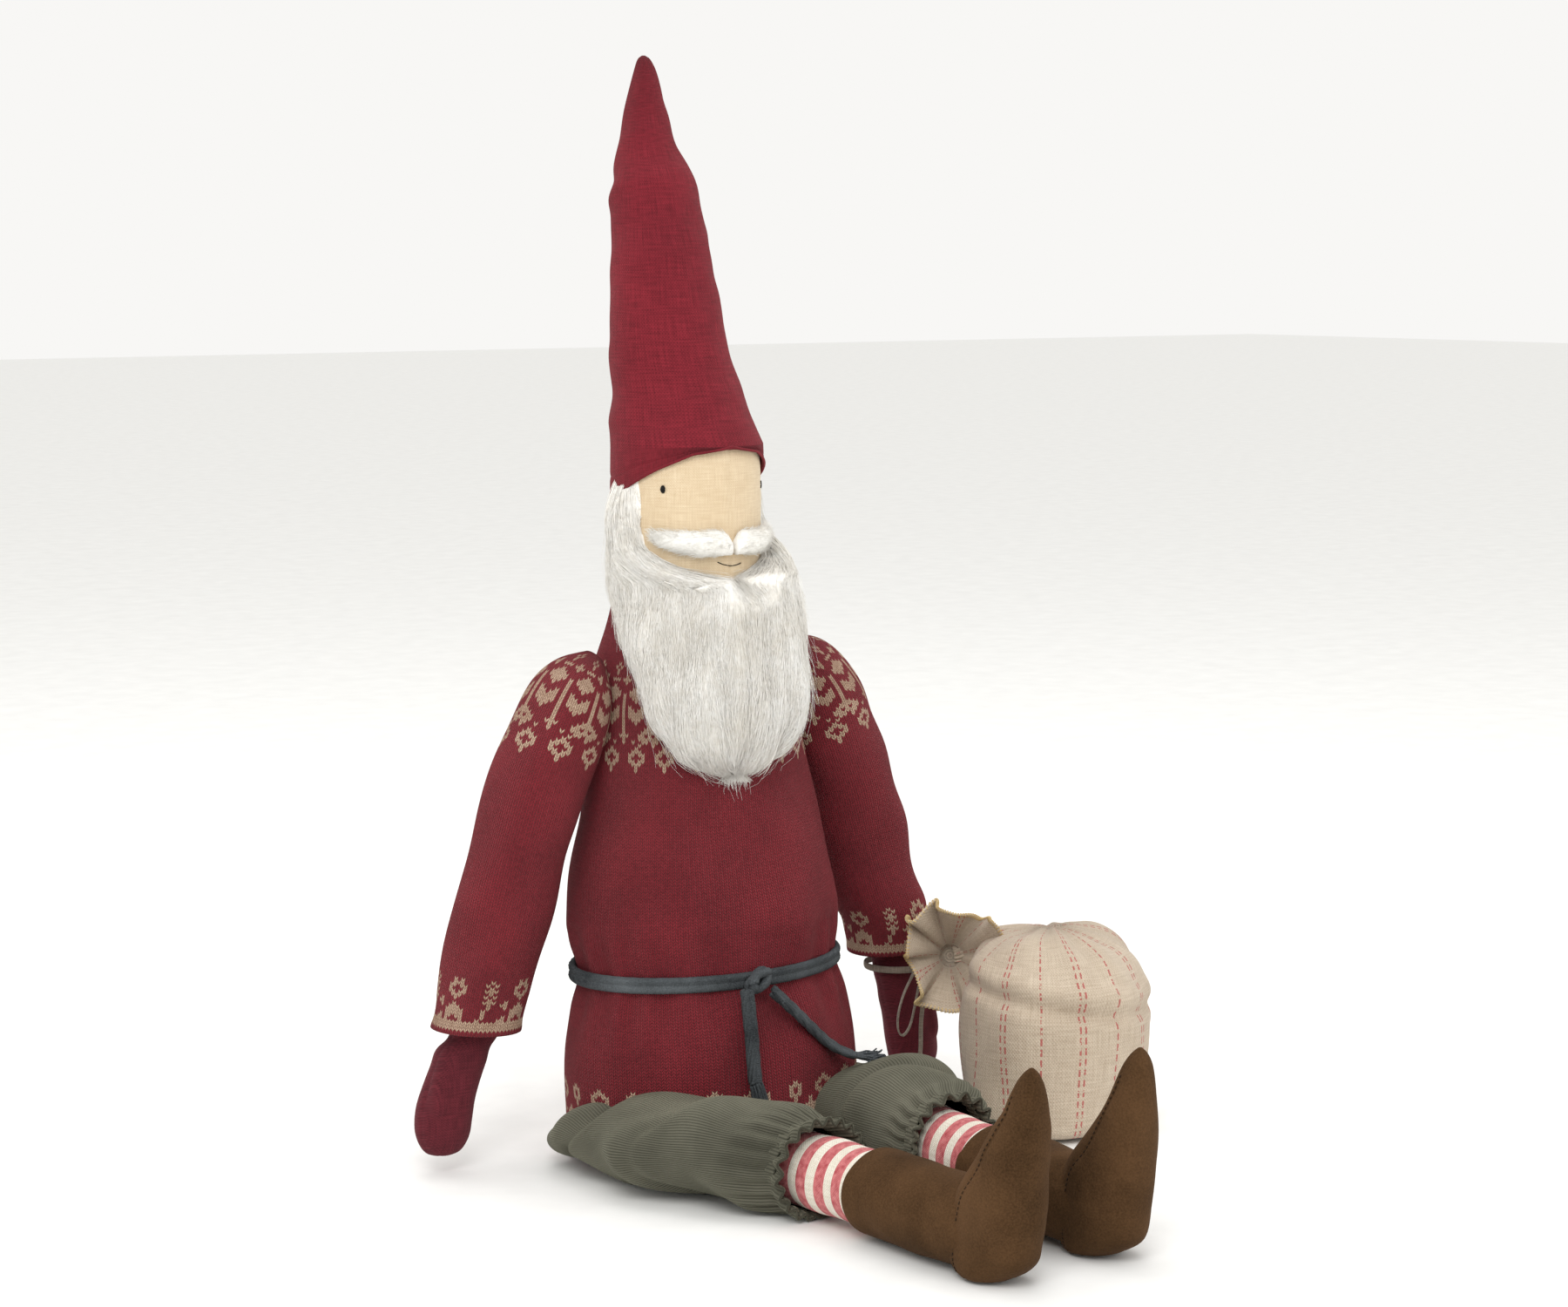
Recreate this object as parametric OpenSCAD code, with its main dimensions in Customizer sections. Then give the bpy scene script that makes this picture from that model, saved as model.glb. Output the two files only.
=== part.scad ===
// Seated soft cloth tomte: knitted sweater, corduroy breeches, wool beard, tall linen hat and a tied sack.
// The doll faces -Y, its own left is +X, and it sits on the plane z = 0 with its spine on the Z axis.

/* [Body] */
// Height of the sweater's hem above the seat plane
hem_z = 3; // [2:0.5:8]
// Full width of the sweater at the hem
hem_w = 196; // [170:1:236]
// Full depth of the sweater at the hem
hem_d = 144; // [125:1:174]
// Height of the belt's middle
belt_z = 110; // [92:1:132]
// Full width of the sweater under the belt
waist_w = 176; // [150:1:186]
// Full depth of the sweater under the belt
waist_d = 120; // [104:1:138]
// Full width of the chest between the arms
chest_w = 148; // [130:1:150]
// Full depth of the chest
chest_d = 102; // [88:1:122]
// Height of the shoulder joints
shoulder_z = 275; // [250:1:300]
// Distance of each shoulder seam from the spine
shoulder_x = 64; // [56:1:72]
// Height of the sweater's neck edge above the shoulder joints
neck_rise = 59; // [52:1:70]
// Thickness of the knitting
knit_t = 2.5; // [1.5:0.1:3.5]

/* [Head] */
// Radius of the head
head_r = 44.5; // [38:0.5:50]
// Height of the head from its underside to its crown
head_h = 135; // [120:1:160]
// How far the head sits behind the spine
head_back = 18; // [8:1:26]
// Height of the hat's front edge above the head's underside
brim_up = 89; // [80:1:104]
// Length of the beard below the head's underside
beard_drop = 114; // [92:1:136]

/* [Hat] */
// Height of the hat above its front edge
hat_h = 233; // [190:1:280]
// How far the hat's tip leans back
hat_lean = 33; // [0:1:45]
// How far the hat's tip leans to the doll's right
hat_side = 9; // [0:1:20]
// Thickness of the hat's linen with its facing
hat_t = 1.4; // [1:0.1:2.5]

/* [Arms] */
// Radius of the sleeve at the upper arm
sleeve_r = 29; // [25:0.5:31]
// Radius of the sleeve at the cuff
cuff_r = 26; // [22:0.5:30]
// Half width of the mitten
mitten_r = 17.5; // [15:0.5:19]
// Height of the right cuff's edge
cuff_z_right = 84; // [74:1:95]
// Height of the left cuff's edge, pushed up a little by the ribbon
cuff_z_left = 98; // [90:1:108]

/* [Legs] */
// Radius of the striped leg
leg_r = 22; // [18:0.5:24]
// Distance of each ankle from the middle
ankle_x = 38; // [34:0.5:46]
// Distance of the heels in front of the spine
heel_y = 325; // [300:1:360]
// Length of the foot from heel to toe tip
foot_l = 120; // [100:1:140]
// Full width of the foot
foot_w = 42; // [36:0.5:46]
// Length of the boot's shaft
shaft_l = 68; // [56:1:80]
// Full width of the breeches' leg at the thigh
thigh_w = 102; // [90:1:108]
// Thickness of a breeches' leg at its gather
gather_h = 54; // [50:0.5:60]
// Distance from the spine to the knee gather
gather_y = 178; // [165:1:190]

/* [Sack] */
// Full width of the sack
sack_w = 122; // [104:1:130]
// Height of the sack to its fold
sack_h = 121; // [105:1:140]
// Radius of the gathered mouth's ruffle
ruffle_r = 36; // [30:0.5:42]
// Width of the ribbon
ribbon_w = 4.5; // [3:0.5:6]

/* [Hidden] */
$fn = 48;
sides = 24;          // sides of a large soft shape
few = 16;            // sides of a limb
gap = 0.3;           // clearance between soft pieces that move apart
cloth_t = 1.2;       // thickness of the lining cotton
cord_t = 3;          // thickness of the flat braided belt
belt_w = 10.6;       // width of the flat braided belt
lid = 40;            // how far a cutting shape runs past what it cuts
wine = [0.46, 0.09, 0.13];
dark_wine = [0.33, 0.12, 0.14];
hat_red = [0.52, 0.14, 0.19];
cotton = [0.86, 0.78, 0.64];
fibre = [0.95, 0.95, 0.93];
wool = [0.93, 0.92, 0.88];
slate = [0.27, 0.29, 0.31];
olive = [0.29, 0.29, 0.25];
suede = [0.27, 0.2, 0.13];
linen = [0.76, 0.7, 0.62];
taupe = [0.52, 0.47, 0.41];
neck_z = shoulder_z + neck_rise;
head_z = neck_z + 4;
crown_z = head_z + head_h;
brim_z = head_z + brim_up;
mid_chest = (belt_z + shoulder_z) / 2;
arm_swing_r = sleeve_r + 0.5;       // radius of the sleeve's round shoulder
hip = [0, 5, 14.3];                 // hip joint line
hip_r = 14;
hip_in = 18;                        // inner end of each hip joint line
crotch_w = hip_in * 2 - 1.2;        // width of the seat's strip between the legs
hip_w = 92;
seat_top = 28;
torso_in = knit_t + 0.8;            // sweater surface to torso surface

// How far the body has leant back at height z
function lean(z) = head_back * max(0, (z - belt_z) / (neck_z - belt_z));

// Ring of a loft: [height, centre x, centre y, half width, half depth]
function ring(r, n) = [for (i = [0:n - 1])
    [r[1] + r[3] * cos(360 * i / n), r[2] + r[4] * sin(360 * i / n), r[0]]];

// The same rings drawn in by t all round
function inset(rings, t) = [for (r = rings) [r[0], r[1], r[2], r[3] - t, r[4] - t]];

// Side faces between neighbouring rings of n points, with the two ends closed
function skin(m, n) = concat(
    [[for (i = [0:n - 1]) i]],
    [for (k = [0:m - 2]) for (i = [0:n - 1]) each let (a = k * n + i, b = k * n + (i + 1) % n)
        [[a, a + n, b + n], [a, b + n, b]]],
    [[for (i = [n - 1:-1:0]) (m - 1) * n + i]]
);

module loft(rings, n = sides) {
    polyhedron(points = [for (r = rings) each ring(r, n)], faces = skin(len(rings), n), convexity = 6);
}

// Loft whose heights run forward from the spine, towards -Y
module forward_loft(rings, n = few) {
    rotate([90, 0, 0]) loft(rings, n);
}

// Flat strap or tapering tube along a route: [x, y, z, bearing of its width, width, thickness]
function unit(v) = v / norm(v);
function here(route, i) = [route[i][0], route[i][1], route[i][2]];
function heading(route, i) = unit(here(route, min(i + 1, len(route) - 1)) - here(route, max(i - 1, 0)));
function across(route, i) = let (t = heading(route, i), w = [cos(route[i][3]), sin(route[i][3]), 0])
    unit(w - (w * t) * t);
function strap_ring(route, i, n) = let (t = heading(route, i), w = across(route, i), h = cross(t, w))
    [for (k = [0:n - 1]) here(route, i) + w * (route[i][4] / 2 * cos(360 * k / n))
        + h * (route[i][5] / 2 * sin(360 * k / n))];

module strap(route, n = 8) {
    polyhedron(points = [for (i = [0:len(route) - 1]) each strap_ring(route, i, n)],
        faces = skin(len(route), n), convexity = 6);
}

module on_right() {
    children();
}

module on_left() {
    mirror([1, 0, 0]) children();
}

// ---- torso, sweater and belt ----
sweater_rings = [
    [hem_z, 0, 0, hem_w / 2, hem_d / 2],
    [hem_z + (belt_z - hem_z) * 0.58, 0, 0, hem_w / 2 - 2, hem_d / 2 - 2],
    [belt_z - 7, 0, 0, waist_w / 2, waist_d / 2],
    [belt_z + 7, 0, 0, waist_w / 2, waist_d / 2],
    [belt_z + 40, 0, lean(belt_z + 40), waist_w / 2 + 2, waist_d / 2 + 2],
    [mid_chest + 16, 0, lean(mid_chest + 16), chest_w / 2 + 4, chest_d / 2 + 2],
    [shoulder_z - 30, 0, lean(shoulder_z - 30), chest_w / 2 - 2, chest_d / 2],
    [shoulder_z, 0, lean(shoulder_z), chest_w / 2 - 4, chest_d / 2 - 2],
    [shoulder_z + 25, 0, lean(shoulder_z + 25), chest_w / 2 - 13, chest_d / 2 - 5],
    [neck_z - 16, 0, lean(neck_z - 16), head_r + 9, head_r + 1.5],
    [neck_z, 0, head_back, head_r + 2, head_r + 1.5]
];
torso_rings = concat(
    [[seat_top + gap, 0, 4, waist_w / 2 - 30, waist_d / 2 - 14]],
    [[seat_top + 30, 0, 2, waist_w / 2 - 12, waist_d / 2 - 6]],
    inset([for (i = [2:9]) sweater_rings[i]], torso_in),
    [[neck_z - 2, 0, head_back, head_r - 10, head_r - 10]],
    [[head_z - gap, 0, head_back, head_r - 16, head_r - 16]]
);

// Round pockets in the shoulders, in which the sleeves' round ends turn
module shoulder_pockets() {
    for (s = [-1, 1])
        translate([s * (shoulder_x + lid / 2), lean(shoulder_z), shoulder_z])
            rotate([0, 90, 0]) cylinder(r = arm_swing_r + gap * 2, h = lid, center = true);
}

// Room for the thighs under the sweater's front
module lap_room() {
    rotate([90, 0, 90]) linear_extrude(height = hem_w + lid, center = true)
        polygon([[21, -lid], [21, seat_top + 3], [-20, 46], [-hem_d / 2 - 4, 57], [-hem_d / 2 - 4, -lid]]);
}

module torso_cloth() {
    color(cotton) difference() {
        loft(torso_rings);
        loft(concat([[seat_top + gap + cloth_t, 0, 4, waist_w / 2 - 31, waist_d / 2 - 15]],
            inset([for (i = [1:len(torso_rings) - 2]) torso_rings[i]], cloth_t)));
        shoulder_pockets();
        lap_room();
    }
}

module torso_stuffing() {
    color(fibre) difference() {
        loft(concat([[seat_top + gap + cloth_t + 0.4, 0, 4, waist_w / 2 - 32, waist_d / 2 - 16]],
            inset([for (i = [1:len(torso_rings) - 3]) torso_rings[i]], cloth_t + 0.4)));
        shoulder_pockets();
        lap_room();
    }
}

module sweater_body() {
    color(wine) difference() {
        loft(sweater_rings);
        loft(concat([[hem_z - 1, 0, 0, hem_w / 2 - knit_t, hem_d / 2 - knit_t]],
            inset([for (i = [1:9]) sweater_rings[i]], knit_t),
            [[neck_z + 1, 0, head_back, head_r + 2 - knit_t, head_r + 1.5 - knit_t]]));
        shoulder_pockets();
        lap_room();
    }
}

module belt_loop(out, more) {
    loft([for (up = [-1, 1])
        [belt_z + up * (belt_w / 2 + more), 0, 0, waist_w / 2 + out, waist_d / 2 + out]]);
}

module belt_band() {
    color(slate) difference() {
        belt_loop(gap + cord_t, 0);
        belt_loop(gap, 1);
    }
}

knot = [-9, -waist_d / 2 - cord_t - 4, belt_z];
knot_r = 6.5;
module belt_knot() {
    color(slate) difference() {
        translate(knot) sphere(r = knot_r);
        belt_loop(gap + cord_t + 0.2, 1);
    }
}

// Belt tails hang free: x, y, z, bearing of the width, width, thickness
tail_front = [[-19, -70, 106, 0, 9, 3], [-20, -73, 100, 0, 10, 3], [-21, -76, 90, 0, 10, 3],
    [-21, -78, 80, 0, 10, 3], [-21, -79, 70, 0, 10, 3], [-20, -79, 60, 0, 10, 3], [-19, -79, 52, 0, 10, 3]];
tassel_front = [[-19, -79, 51.5, 0, 10, 5], [-17, -79, 44, 0, 12, 7], [-14, -79, 28, 0, 15, 8]];
tail_side = [[-1, -72, 104, 20, 9, 3], [6, -74, 97, 30, 10, 3], [16, -74, 88, 38, 10, 3],
    [28, -73, 77, 42, 10, 3], [40, -71, 67, 45, 10, 3], [51, -70, 60, 50, 10, 3], [60, -71, 56, 60, 10, 3]];
fringe_side = [[60.5, -71, 55.8, 60, 10, 4], [68, -72, 54, 65, 13, 5], [80, -74, 53, 70, 16, 5]];

module belt_tail_front() {
    color(slate) strap(tail_front);
}

module belt_tassel_front() {
    color(slate) strap(tassel_front);
}

module belt_tail_side() {
    color(slate) strap(tail_side);
}

module belt_fringe_side() {
    color(slate) strap(fringe_side);
}

// Seat of the breeches behind the hips, with the crotch that comes forward between the legs
module trouser_seat() {
    color(olive) linear_extrude(height = seat_top) union() {
        intersection() {
            translate([0, -30]) circle(r = waist_d / 2 + 34);
            translate([-hem_w / 2, 21]) square([hem_w, hem_d]);
        }
        translate([-crotch_w / 2, -20]) square([crotch_w, 42]);
    }
}

// ---- head, beard and hat ----
head_rings = [
    [head_z, 0, head_back, head_r - 5, head_r - 5],
    [head_z + 7, 0, head_back, head_r, head_r],
    [brim_z - 15, 0, head_back, head_r, head_r],
    [brim_z, 0, head_back, head_r - 2, head_r - 2],
    [brim_z + 13, 0, head_back, head_r - 7.5, head_r - 7.5],
    [brim_z + 30, 0, head_back, head_r - 17.5, head_r - 17.5],
    [brim_z + 41, 0, head_back, head_r - 28, head_r - 28],
    [crown_z, 0, head_back, head_r - 40, head_r - 40]
];

module turned(rings) {
    translate([0, head_back, 0]) rotate_extrude()
        polygon(concat([[0, rings[0][0]]], [for (r = rings) [r[3], r[0]]], [[0, rings[len(rings) - 1][0]]]));
}

module head_cloth() {
    color(cotton) difference() {
        turned(head_rings);
        turned(concat([[head_z + cloth_t, 0, 0, head_r - 6, 0]],
            inset([for (i = [1:6]) head_rings[i]], cloth_t)));
    }
}

module head_stuffing() {
    color(fibre) turned(concat([[head_z + cloth_t + 0.3, 0, 0, head_r - 6.5, 0]],
        inset([for (i = [1:5]) head_rings[i]], cloth_t + 0.3)));
}

// Point on the head at a bearing from the face's middle seam
module on_face(bearing, z, out = 0) {
    translate([0, head_back, z]) rotate([0, 0, bearing]) translate([0, -head_r - out, 0]) children();
}

eye_up = 64;
module eyes() {
    color("black") for (s = [-1, 1])
        on_face(s * 54, head_z + eye_up, 0.1) rotate([90, 0, 0]) cylinder(r = 1.5, h = 0.8);
}

mouth_up = 18;
module mouth_stitch() {
    color("black") translate([0, head_back, head_z + mouth_up]) difference() {
        cylinder(r = head_r + 0.7, h = 1);
        translate([0, 0, -1]) cylinder(r = head_r + 0.1, h = 3);
        translate([-lid * 2, -head_r * 0.96, -1]) cube([lid * 4, lid * 4, 3]);
    }
}

moustache_up = 31;
module moustache() {
    difference() {
        loft_along_lip(0);
        translate([0, head_back, head_z]) cylinder(r = head_r + 0.3, h = head_h);
    }
}

// Half moustache laid round the lip from the middle outwards
function lip(a, up, w, t) = [-(head_r + 3) * sin(a), head_back - (head_r + 3) * cos(a),
    head_z + moustache_up + up, 90, w, t];
lip_line = [[2, -2, 8, 8], [10, 0, 13, 15], [24, 0, 13, 16], [40, 1, 12, 13], [54, 3, 8, 8], [62, 5, 3, 3]];
module loft_along_lip(more) {
    strap([for (p = lip_line) lip(p[0], p[1], p[2] + more, p[3] + more)], 12);
}

module moustache_right() {
    color(wool) on_right() moustache();
}

module moustache_left() {
    color(wool) on_left() moustache();
}

beard_tip = head_z - beard_drop;
cheek = lid * 4;                    // reach of the wedge that leaves the cheeks bare
beard_rings = [
    [beard_tip, -8, -42, 6, 6],
    [beard_tip + 8, -8, -40, 20, 16],
    [beard_tip + 22, -6, -37, 38, 24],
    [beard_tip + 42, -5, -30, 51, 32],
    [beard_tip + 66, -4, -21, 56, 41],
    [head_z - 18, -2, -8, 56, 52],
    [head_z + 12, 0, 4, head_r + 10, head_r + 13],
    [head_z + 42, 0, head_back - 5, head_r + 8, head_r + 7],
    [head_z + 66, 0, head_back - 1, head_r + 3.5, head_r + 3.5]
];

// Slanting edge of the hat, high over the brow and low at the nape
module above_brim(drop) {
    translate([0, head_back - head_r - 2, brim_z - drop]) rotate([-27, 0, 0])
        translate([-lid * 3, -lid * 2, 0]) cube([lid * 6, lid * 8, hat_h * 2]);
}

module beard() {
    color(wool) difference() {
        loft(beard_rings);
        translate([0, head_back, head_z - 1]) cylinder(r = head_r + 0.3, h = head_h);
        translate([0, head_back, head_z - 6]) cylinder(r = head_r - 3, h = 6);
        translate([-lid * 2, head_back + 12, beard_tip]) cube([lid * 4, lid * 2, head_h * 2]);
        translate([-30, -lid * 2, head_z + 10]) cube([60, lid * 2, head_h]);
        translate([0, head_back, head_z + 24]) linear_extrude(height = head_h)
            polygon([
                [0, 0],
                [-cheek * sin(74), -cheek * cos(74)],
                [0, -cheek],
                [cheek * sin(74), -cheek * cos(74)]
            ]);
        on_right() loft_along_lip(1.5);
        on_left() loft_along_lip(1.5);
        loft(inset(sweater_rings, -1));
        translate([0, 0, neck_z - 0.5]) loft([[0, 0, head_back, head_r + 3, head_r + 2.5],
            [2, 0, head_back, head_r + 3, head_r + 2.5]]);
        above_brim(2);
    }
}

hat_in = head_r + 0.5;
hat_rings = [
    [brim_z - 60, 0, head_back, hat_in + hat_t, hat_in + hat_t],
    [brim_z + 1, 0, head_back, hat_in + hat_t, hat_in + hat_t],
    [brim_z + 30, -hat_side * 0.2, head_back + hat_lean * 0.22, head_r - 4, head_r - 4],
    [brim_z + hat_h * 0.26, -hat_side * 0.6, head_back + hat_lean * 0.4, head_r - 8.5, head_r - 8.5],
    [brim_z + hat_h * 0.44, -hat_side * 0.85, head_back + hat_lean * 0.48, head_r - 13, head_r - 13],
    [brim_z + hat_h * 0.66, -hat_side, head_back + hat_lean * 0.7, head_r - 19, head_r - 19],
    [brim_z + hat_h * 0.77, -hat_side, head_back + hat_lean * 0.86, 18.4, 18.4],
    [brim_z + hat_h * 0.88, -hat_side, head_back + hat_lean * 0.93, 12, 12],
    [brim_z + hat_h * 0.965, -hat_side, head_back + hat_lean * 0.98, 6.6, 6.6],
    [brim_z + hat_h, -hat_side, head_back + hat_lean, 3, 3]
];
hat_hollow = concat(
    [[brim_z - 61, 0, head_back, hat_in, hat_in], [brim_z + 1, 0, head_back, hat_in, hat_in]],
    inset([for (i = [2:8]) hat_rings[i]], hat_t)
);

module hat_cloth() {
    color(hat_red) intersection() {
        difference() {
            loft(hat_rings);
            loft(hat_hollow);
        }
        above_brim(0);
    }
}

module hat_stuffing() {
    color(fibre) loft(concat(
        [[crown_z + 3, -hat_side * 0.5, head_back + hat_lean * 0.34, head_r - 12, head_r - 12]],
        inset([for (i = [4:7]) hat_rings[i]], hat_t + gap)));
}

// ---- arms, the right one drawn and the left one mirrored ----
// Levels of an arm: [height, distance out, distance back, sleeve half width, half depth]
function arm_rings(back, cuff) = [
    [cuff, 150, 14 + back, cuff_r, cuff_r - 1],
    [cuff + 26, 144, 13 + back, sleeve_r - 1.5, sleeve_r - 2.5],
    [shoulder_z - 128, 136, 14 + back / 2, sleeve_r, sleeve_r - 1],
    [shoulder_z - 66, shoulder_x + 55, 14, sleeve_r + 1, sleeve_r],
    [shoulder_z - 29, shoulder_x + 40, lean(shoulder_z), sleeve_r, sleeve_r],
    [shoulder_z, shoulder_x + 25, lean(shoulder_z), sleeve_r - 4.5, sleeve_r - 1],
    [shoulder_z + 16, shoulder_x + 19, lean(shoulder_z), sleeve_r - 9, sleeve_r - 10],
    [shoulder_z + 24, shoulder_x + 16, lean(shoulder_z), sleeve_r - 19, sleeve_r - 19]
];

module arm_form(back, cuff, t, low) {
    rings = arm_rings(back, cuff);
    difference() {
        union() {
            loft(concat([for (i = [0:1]) [rings[i][0] - low, rings[i][1], rings[i][2], rings[i][3] - t,
                rings[i][4] - t]], inset([for (i = [2:7]) rings[i]], t)), few);
            translate([shoulder_x + gap + t / 4, lean(shoulder_z), shoulder_z]) rotate([0, 90, 0])
                cylinder(r = arm_swing_r - t, h = 24 - t);
        }
        translate([shoulder_x + gap - lid * 2, -lid * 2, 0]) cube([lid * 2, lid * 4, shoulder_z * 2]);
    }
}

module sleeve(back, cuff) {
    color(wine) difference() {
        arm_form(back, cuff, 0, 0);
        arm_form(back, cuff, knit_t, 1);
        translate([shoulder_x, lean(shoulder_z), shoulder_z]) rotate([0, 90, 0])
            cylinder(r = arm_swing_r - knit_t, h = 10);
    }
}

// The stuffed arm inside the sleeve, narrowing to the wrist
function inner_arm(back, wrist, t) = [
    [wrist + 16, 148, 14 + back, mitten_r - 1.5 - t, mitten_r - 2.5 - t],
    [shoulder_z - 128, 136, 14 + back / 2, sleeve_r - 6 - t, sleeve_r - 7 - t],
    [shoulder_z - 66, shoulder_x + 55, 14, sleeve_r - 3 - t, sleeve_r - 4 - t],
    [shoulder_z - 29, shoulder_x + 40, lean(shoulder_z), sleeve_r - 4.5 - t, sleeve_r - 4.5 - t],
    [shoulder_z, shoulder_x + 26, lean(shoulder_z), sleeve_r - 9 - t, sleeve_r - 6 - t],
    [shoulder_z + 14, shoulder_x + 19, lean(shoulder_z), sleeve_r - 14 - t, sleeve_r - 15 - t]
];

module inner_arm_form(back, wrist, t) {
    union() {
        loft(inner_arm(back, wrist, t), few);
        translate([shoulder_x + gap + t, lean(shoulder_z), shoulder_z]) rotate([0, 90, 0])
            cylinder(r = arm_swing_r - knit_t - 1 - t, h = 20 - t * 2);
    }
}

module arm_cloth(back, wrist) {
    color(cotton) difference() {
        inner_arm_form(back, wrist, 0);
        inner_arm_form(back, wrist + 1, cloth_t);
    }
}

module arm_stuffing(back, wrist) {
    color(fibre) inner_arm_form(back, wrist + 1.4, cloth_t + 0.4);
}

// Mitten with its thumb turned outward
module mitten(back, wrist) {
    color(dark_wine) union() {
        loft([
            [9, 173, 17 + back, 8, 7],
            [14, 173, 17 + back, mitten_r - 4, mitten_r - 5],
            [28, 172, 17 + back, mitten_r, mitten_r - 1.5],
            [48, 168, 16 + back, mitten_r + 0.5, mitten_r - 1],
            [70, 160, 14 + back, mitten_r + 0.5, mitten_r - 1],
            [wrist, 152, 13 + back, mitten_r - 1, mitten_r - 2],
            [wrist + 16 - gap, 148, 14 + back, mitten_r - 1.5, mitten_r - 2.5]
        ], few);
        hull() {
            translate([168, 11 + back, 66]) sphere(r = mitten_r / 2, $fn = 20);
            translate([179, 9 + back, 42]) sphere(r = mitten_r / 2, $fn = 20);
        }
    }
}

back_right = 10;
back_left = -4;

module arm_cloth_right() {
    on_left() arm_cloth(back_right, cuff_z_right);
}

module arm_stuffing_right() {
    on_left() arm_stuffing(back_right, cuff_z_right);
}

module sleeve_right() {
    on_left() sleeve(back_right, cuff_z_right);
}

module mitten_right() {
    on_left() mitten(back_right, cuff_z_right);
}

module arm_cloth_left() {
    on_right() arm_cloth(back_left, cuff_z_left);
}

module arm_stuffing_left() {
    on_right() arm_stuffing(back_left, cuff_z_left);
}

module sleeve_left() {
    on_right() sleeve(back_left, cuff_z_left);
}

module mitten_left() {
    on_right() mitten(back_left, cuff_z_left);
}

// ---- legs, drawn for the right side (-X) and mirrored for the left ----
ankle_end = heel_y - 30;            // where the leg meets the foot
shaft_start = ankle_end - shaft_l;
leg_z = leg_r + 3;                  // the lying leg's middle above the seat plane
// Levels forward from the spine: [distance, centre x, centre z, half width, half height]
function leg_rings(t) = [
    [-4, -64, hip[2], leg_r + 8 - t, hip_r - 4 - t],
    [30, -66, 20.3, leg_r + 4 - t, leg_r - 8 - t],
    [65, -65, 23.5, leg_r + 2 - t, leg_r - 5 - t],
    [gather_y - 78, -62, 25, leg_r - t, leg_r - 2 - t],
    [gather_y - 38, -54, leg_z + 0.6, leg_r - t, leg_r - t],
    [gather_y + 8, -45, leg_z, leg_r - t, leg_r - t],
    [ankle_end - t, -ankle_x, leg_z, leg_r - t, leg_r - t]
];
trouser_rings = [
    [-5, -66, hip[2], thigh_w / 2 - 3, hip_r],
    [30, -74, 20.3, thigh_w / 2, 20],
    [60, -75, 23.3, thigh_w / 2, 23],
    [95, -74, 25.3, thigh_w / 2 - 3, 25],
    [gather_y - 48, -67, 27.3, thigh_w / 2 - 8, 27],
    [gather_y - 20, -57, 29.3, thigh_w / 2 - 13, 29],
    [gather_y - 2, -49, gather_h / 2 + 0.6, gather_h / 2 + 3, gather_h / 2],
    [gather_y + 6, -47, gather_h / 2 + 0.6, gather_h / 2, gather_h / 2]
];
trouser_t = 1.6;

module leg_cloth() {
    color([0.86, 0.66, 0.62]) difference() {
        forward_loft(leg_rings(0));
        forward_loft(leg_rings(cloth_t));
    }
}

module leg_stuffing() {
    color(fibre) forward_loft(leg_rings(cloth_t + 0.4));
}

// Round root on the hip line, in which the leg turns, and the puffed leg in front of it
module trouser_form(t) {
    union() {
        translate([-hip_in - t, hip[1], hip[2]])
            rotate([0, -90, 0]) cylinder(r = hip_r - t, h = hip_w - t * 2);
        forward_loft([for (r = trouser_rings)
            [r[0] + (r[0] > gather_y ? t : 0), r[1], r[2], r[3] - t, r[4] - t]]);
    }
}

module trouser_leg() {
    color(olive) difference() {
        trouser_form(0);
        trouser_form(trouser_t);
    }
}

module knee_elastic() {
    color(olive) difference() {
        forward_loft([for (y = [gather_y - 6, gather_y - 1])
            [y, -49, gather_h / 2 + 0.6, gather_h / 2 - trouser_t - 1, gather_h / 2 - trouser_t - 1]]);
        forward_loft(leg_rings(-gap));
    }
}

shaft_rings = [
    [shaft_start, -ankle_x - 3, leg_z, leg_r + 4.5, leg_r + 2.8],
    [shaft_start + shaft_l / 2, -ankle_x - 2, leg_z, leg_r + 4.5, leg_r + 2.8],
    [ankle_end - 1, -ankle_x, leg_z, leg_r + 3, leg_r + 2.8]
];

module boot_shaft() {
    color(suede) difference() {
        forward_loft(shaft_rings);
        forward_loft(leg_rings(-gap));
    }
}

// Foot with its long toe standing up: [height, centre x, centre y, half width, half depth]
foot_rings = [
    [0, -ankle_x, -heel_y + 7, foot_w * 0.3, 12],
    [3, -ankle_x, -heel_y + 5, foot_w * 0.42, 20],
    [12, -ankle_x, -heel_y + 1, foot_w / 2, 28],
    [foot_l * 0.25, -ankle_x, -heel_y - 1, foot_w / 2, 30],
    [foot_l * 0.4, -ankle_x, -heel_y - 6, foot_w / 2, 28],
    [foot_l * 0.55, -ankle_x, -heel_y - 14, foot_w / 2 - 3, 21],
    [foot_l * 0.75, -ankle_x, -heel_y - 23, foot_w / 2 - 8, 14],
    [foot_l * 0.92, -ankle_x, -heel_y - 27, foot_w / 2 - 14, 8],
    [foot_l, -ankle_x, -heel_y - 29, 3, 3]
];

module boot_foot() {
    color(suede) difference() {
        loft(foot_rings, few);
        translate([-ankle_x * 2, -ankle_end + 0.1 - gap, -1]) cube([ankle_x * 2, lid * 2, foot_l * 2]);
    }
}

module leg_cloth_right() {
    on_right() leg_cloth();
}

module leg_stuffing_right() {
    on_right() leg_stuffing();
}

module trouser_leg_right() {
    on_right() trouser_leg();
}

module knee_elastic_right() {
    on_right() knee_elastic();
}

module boot_shaft_right() {
    on_right() boot_shaft();
}

module boot_foot_right() {
    on_right() boot_foot();
}

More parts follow.
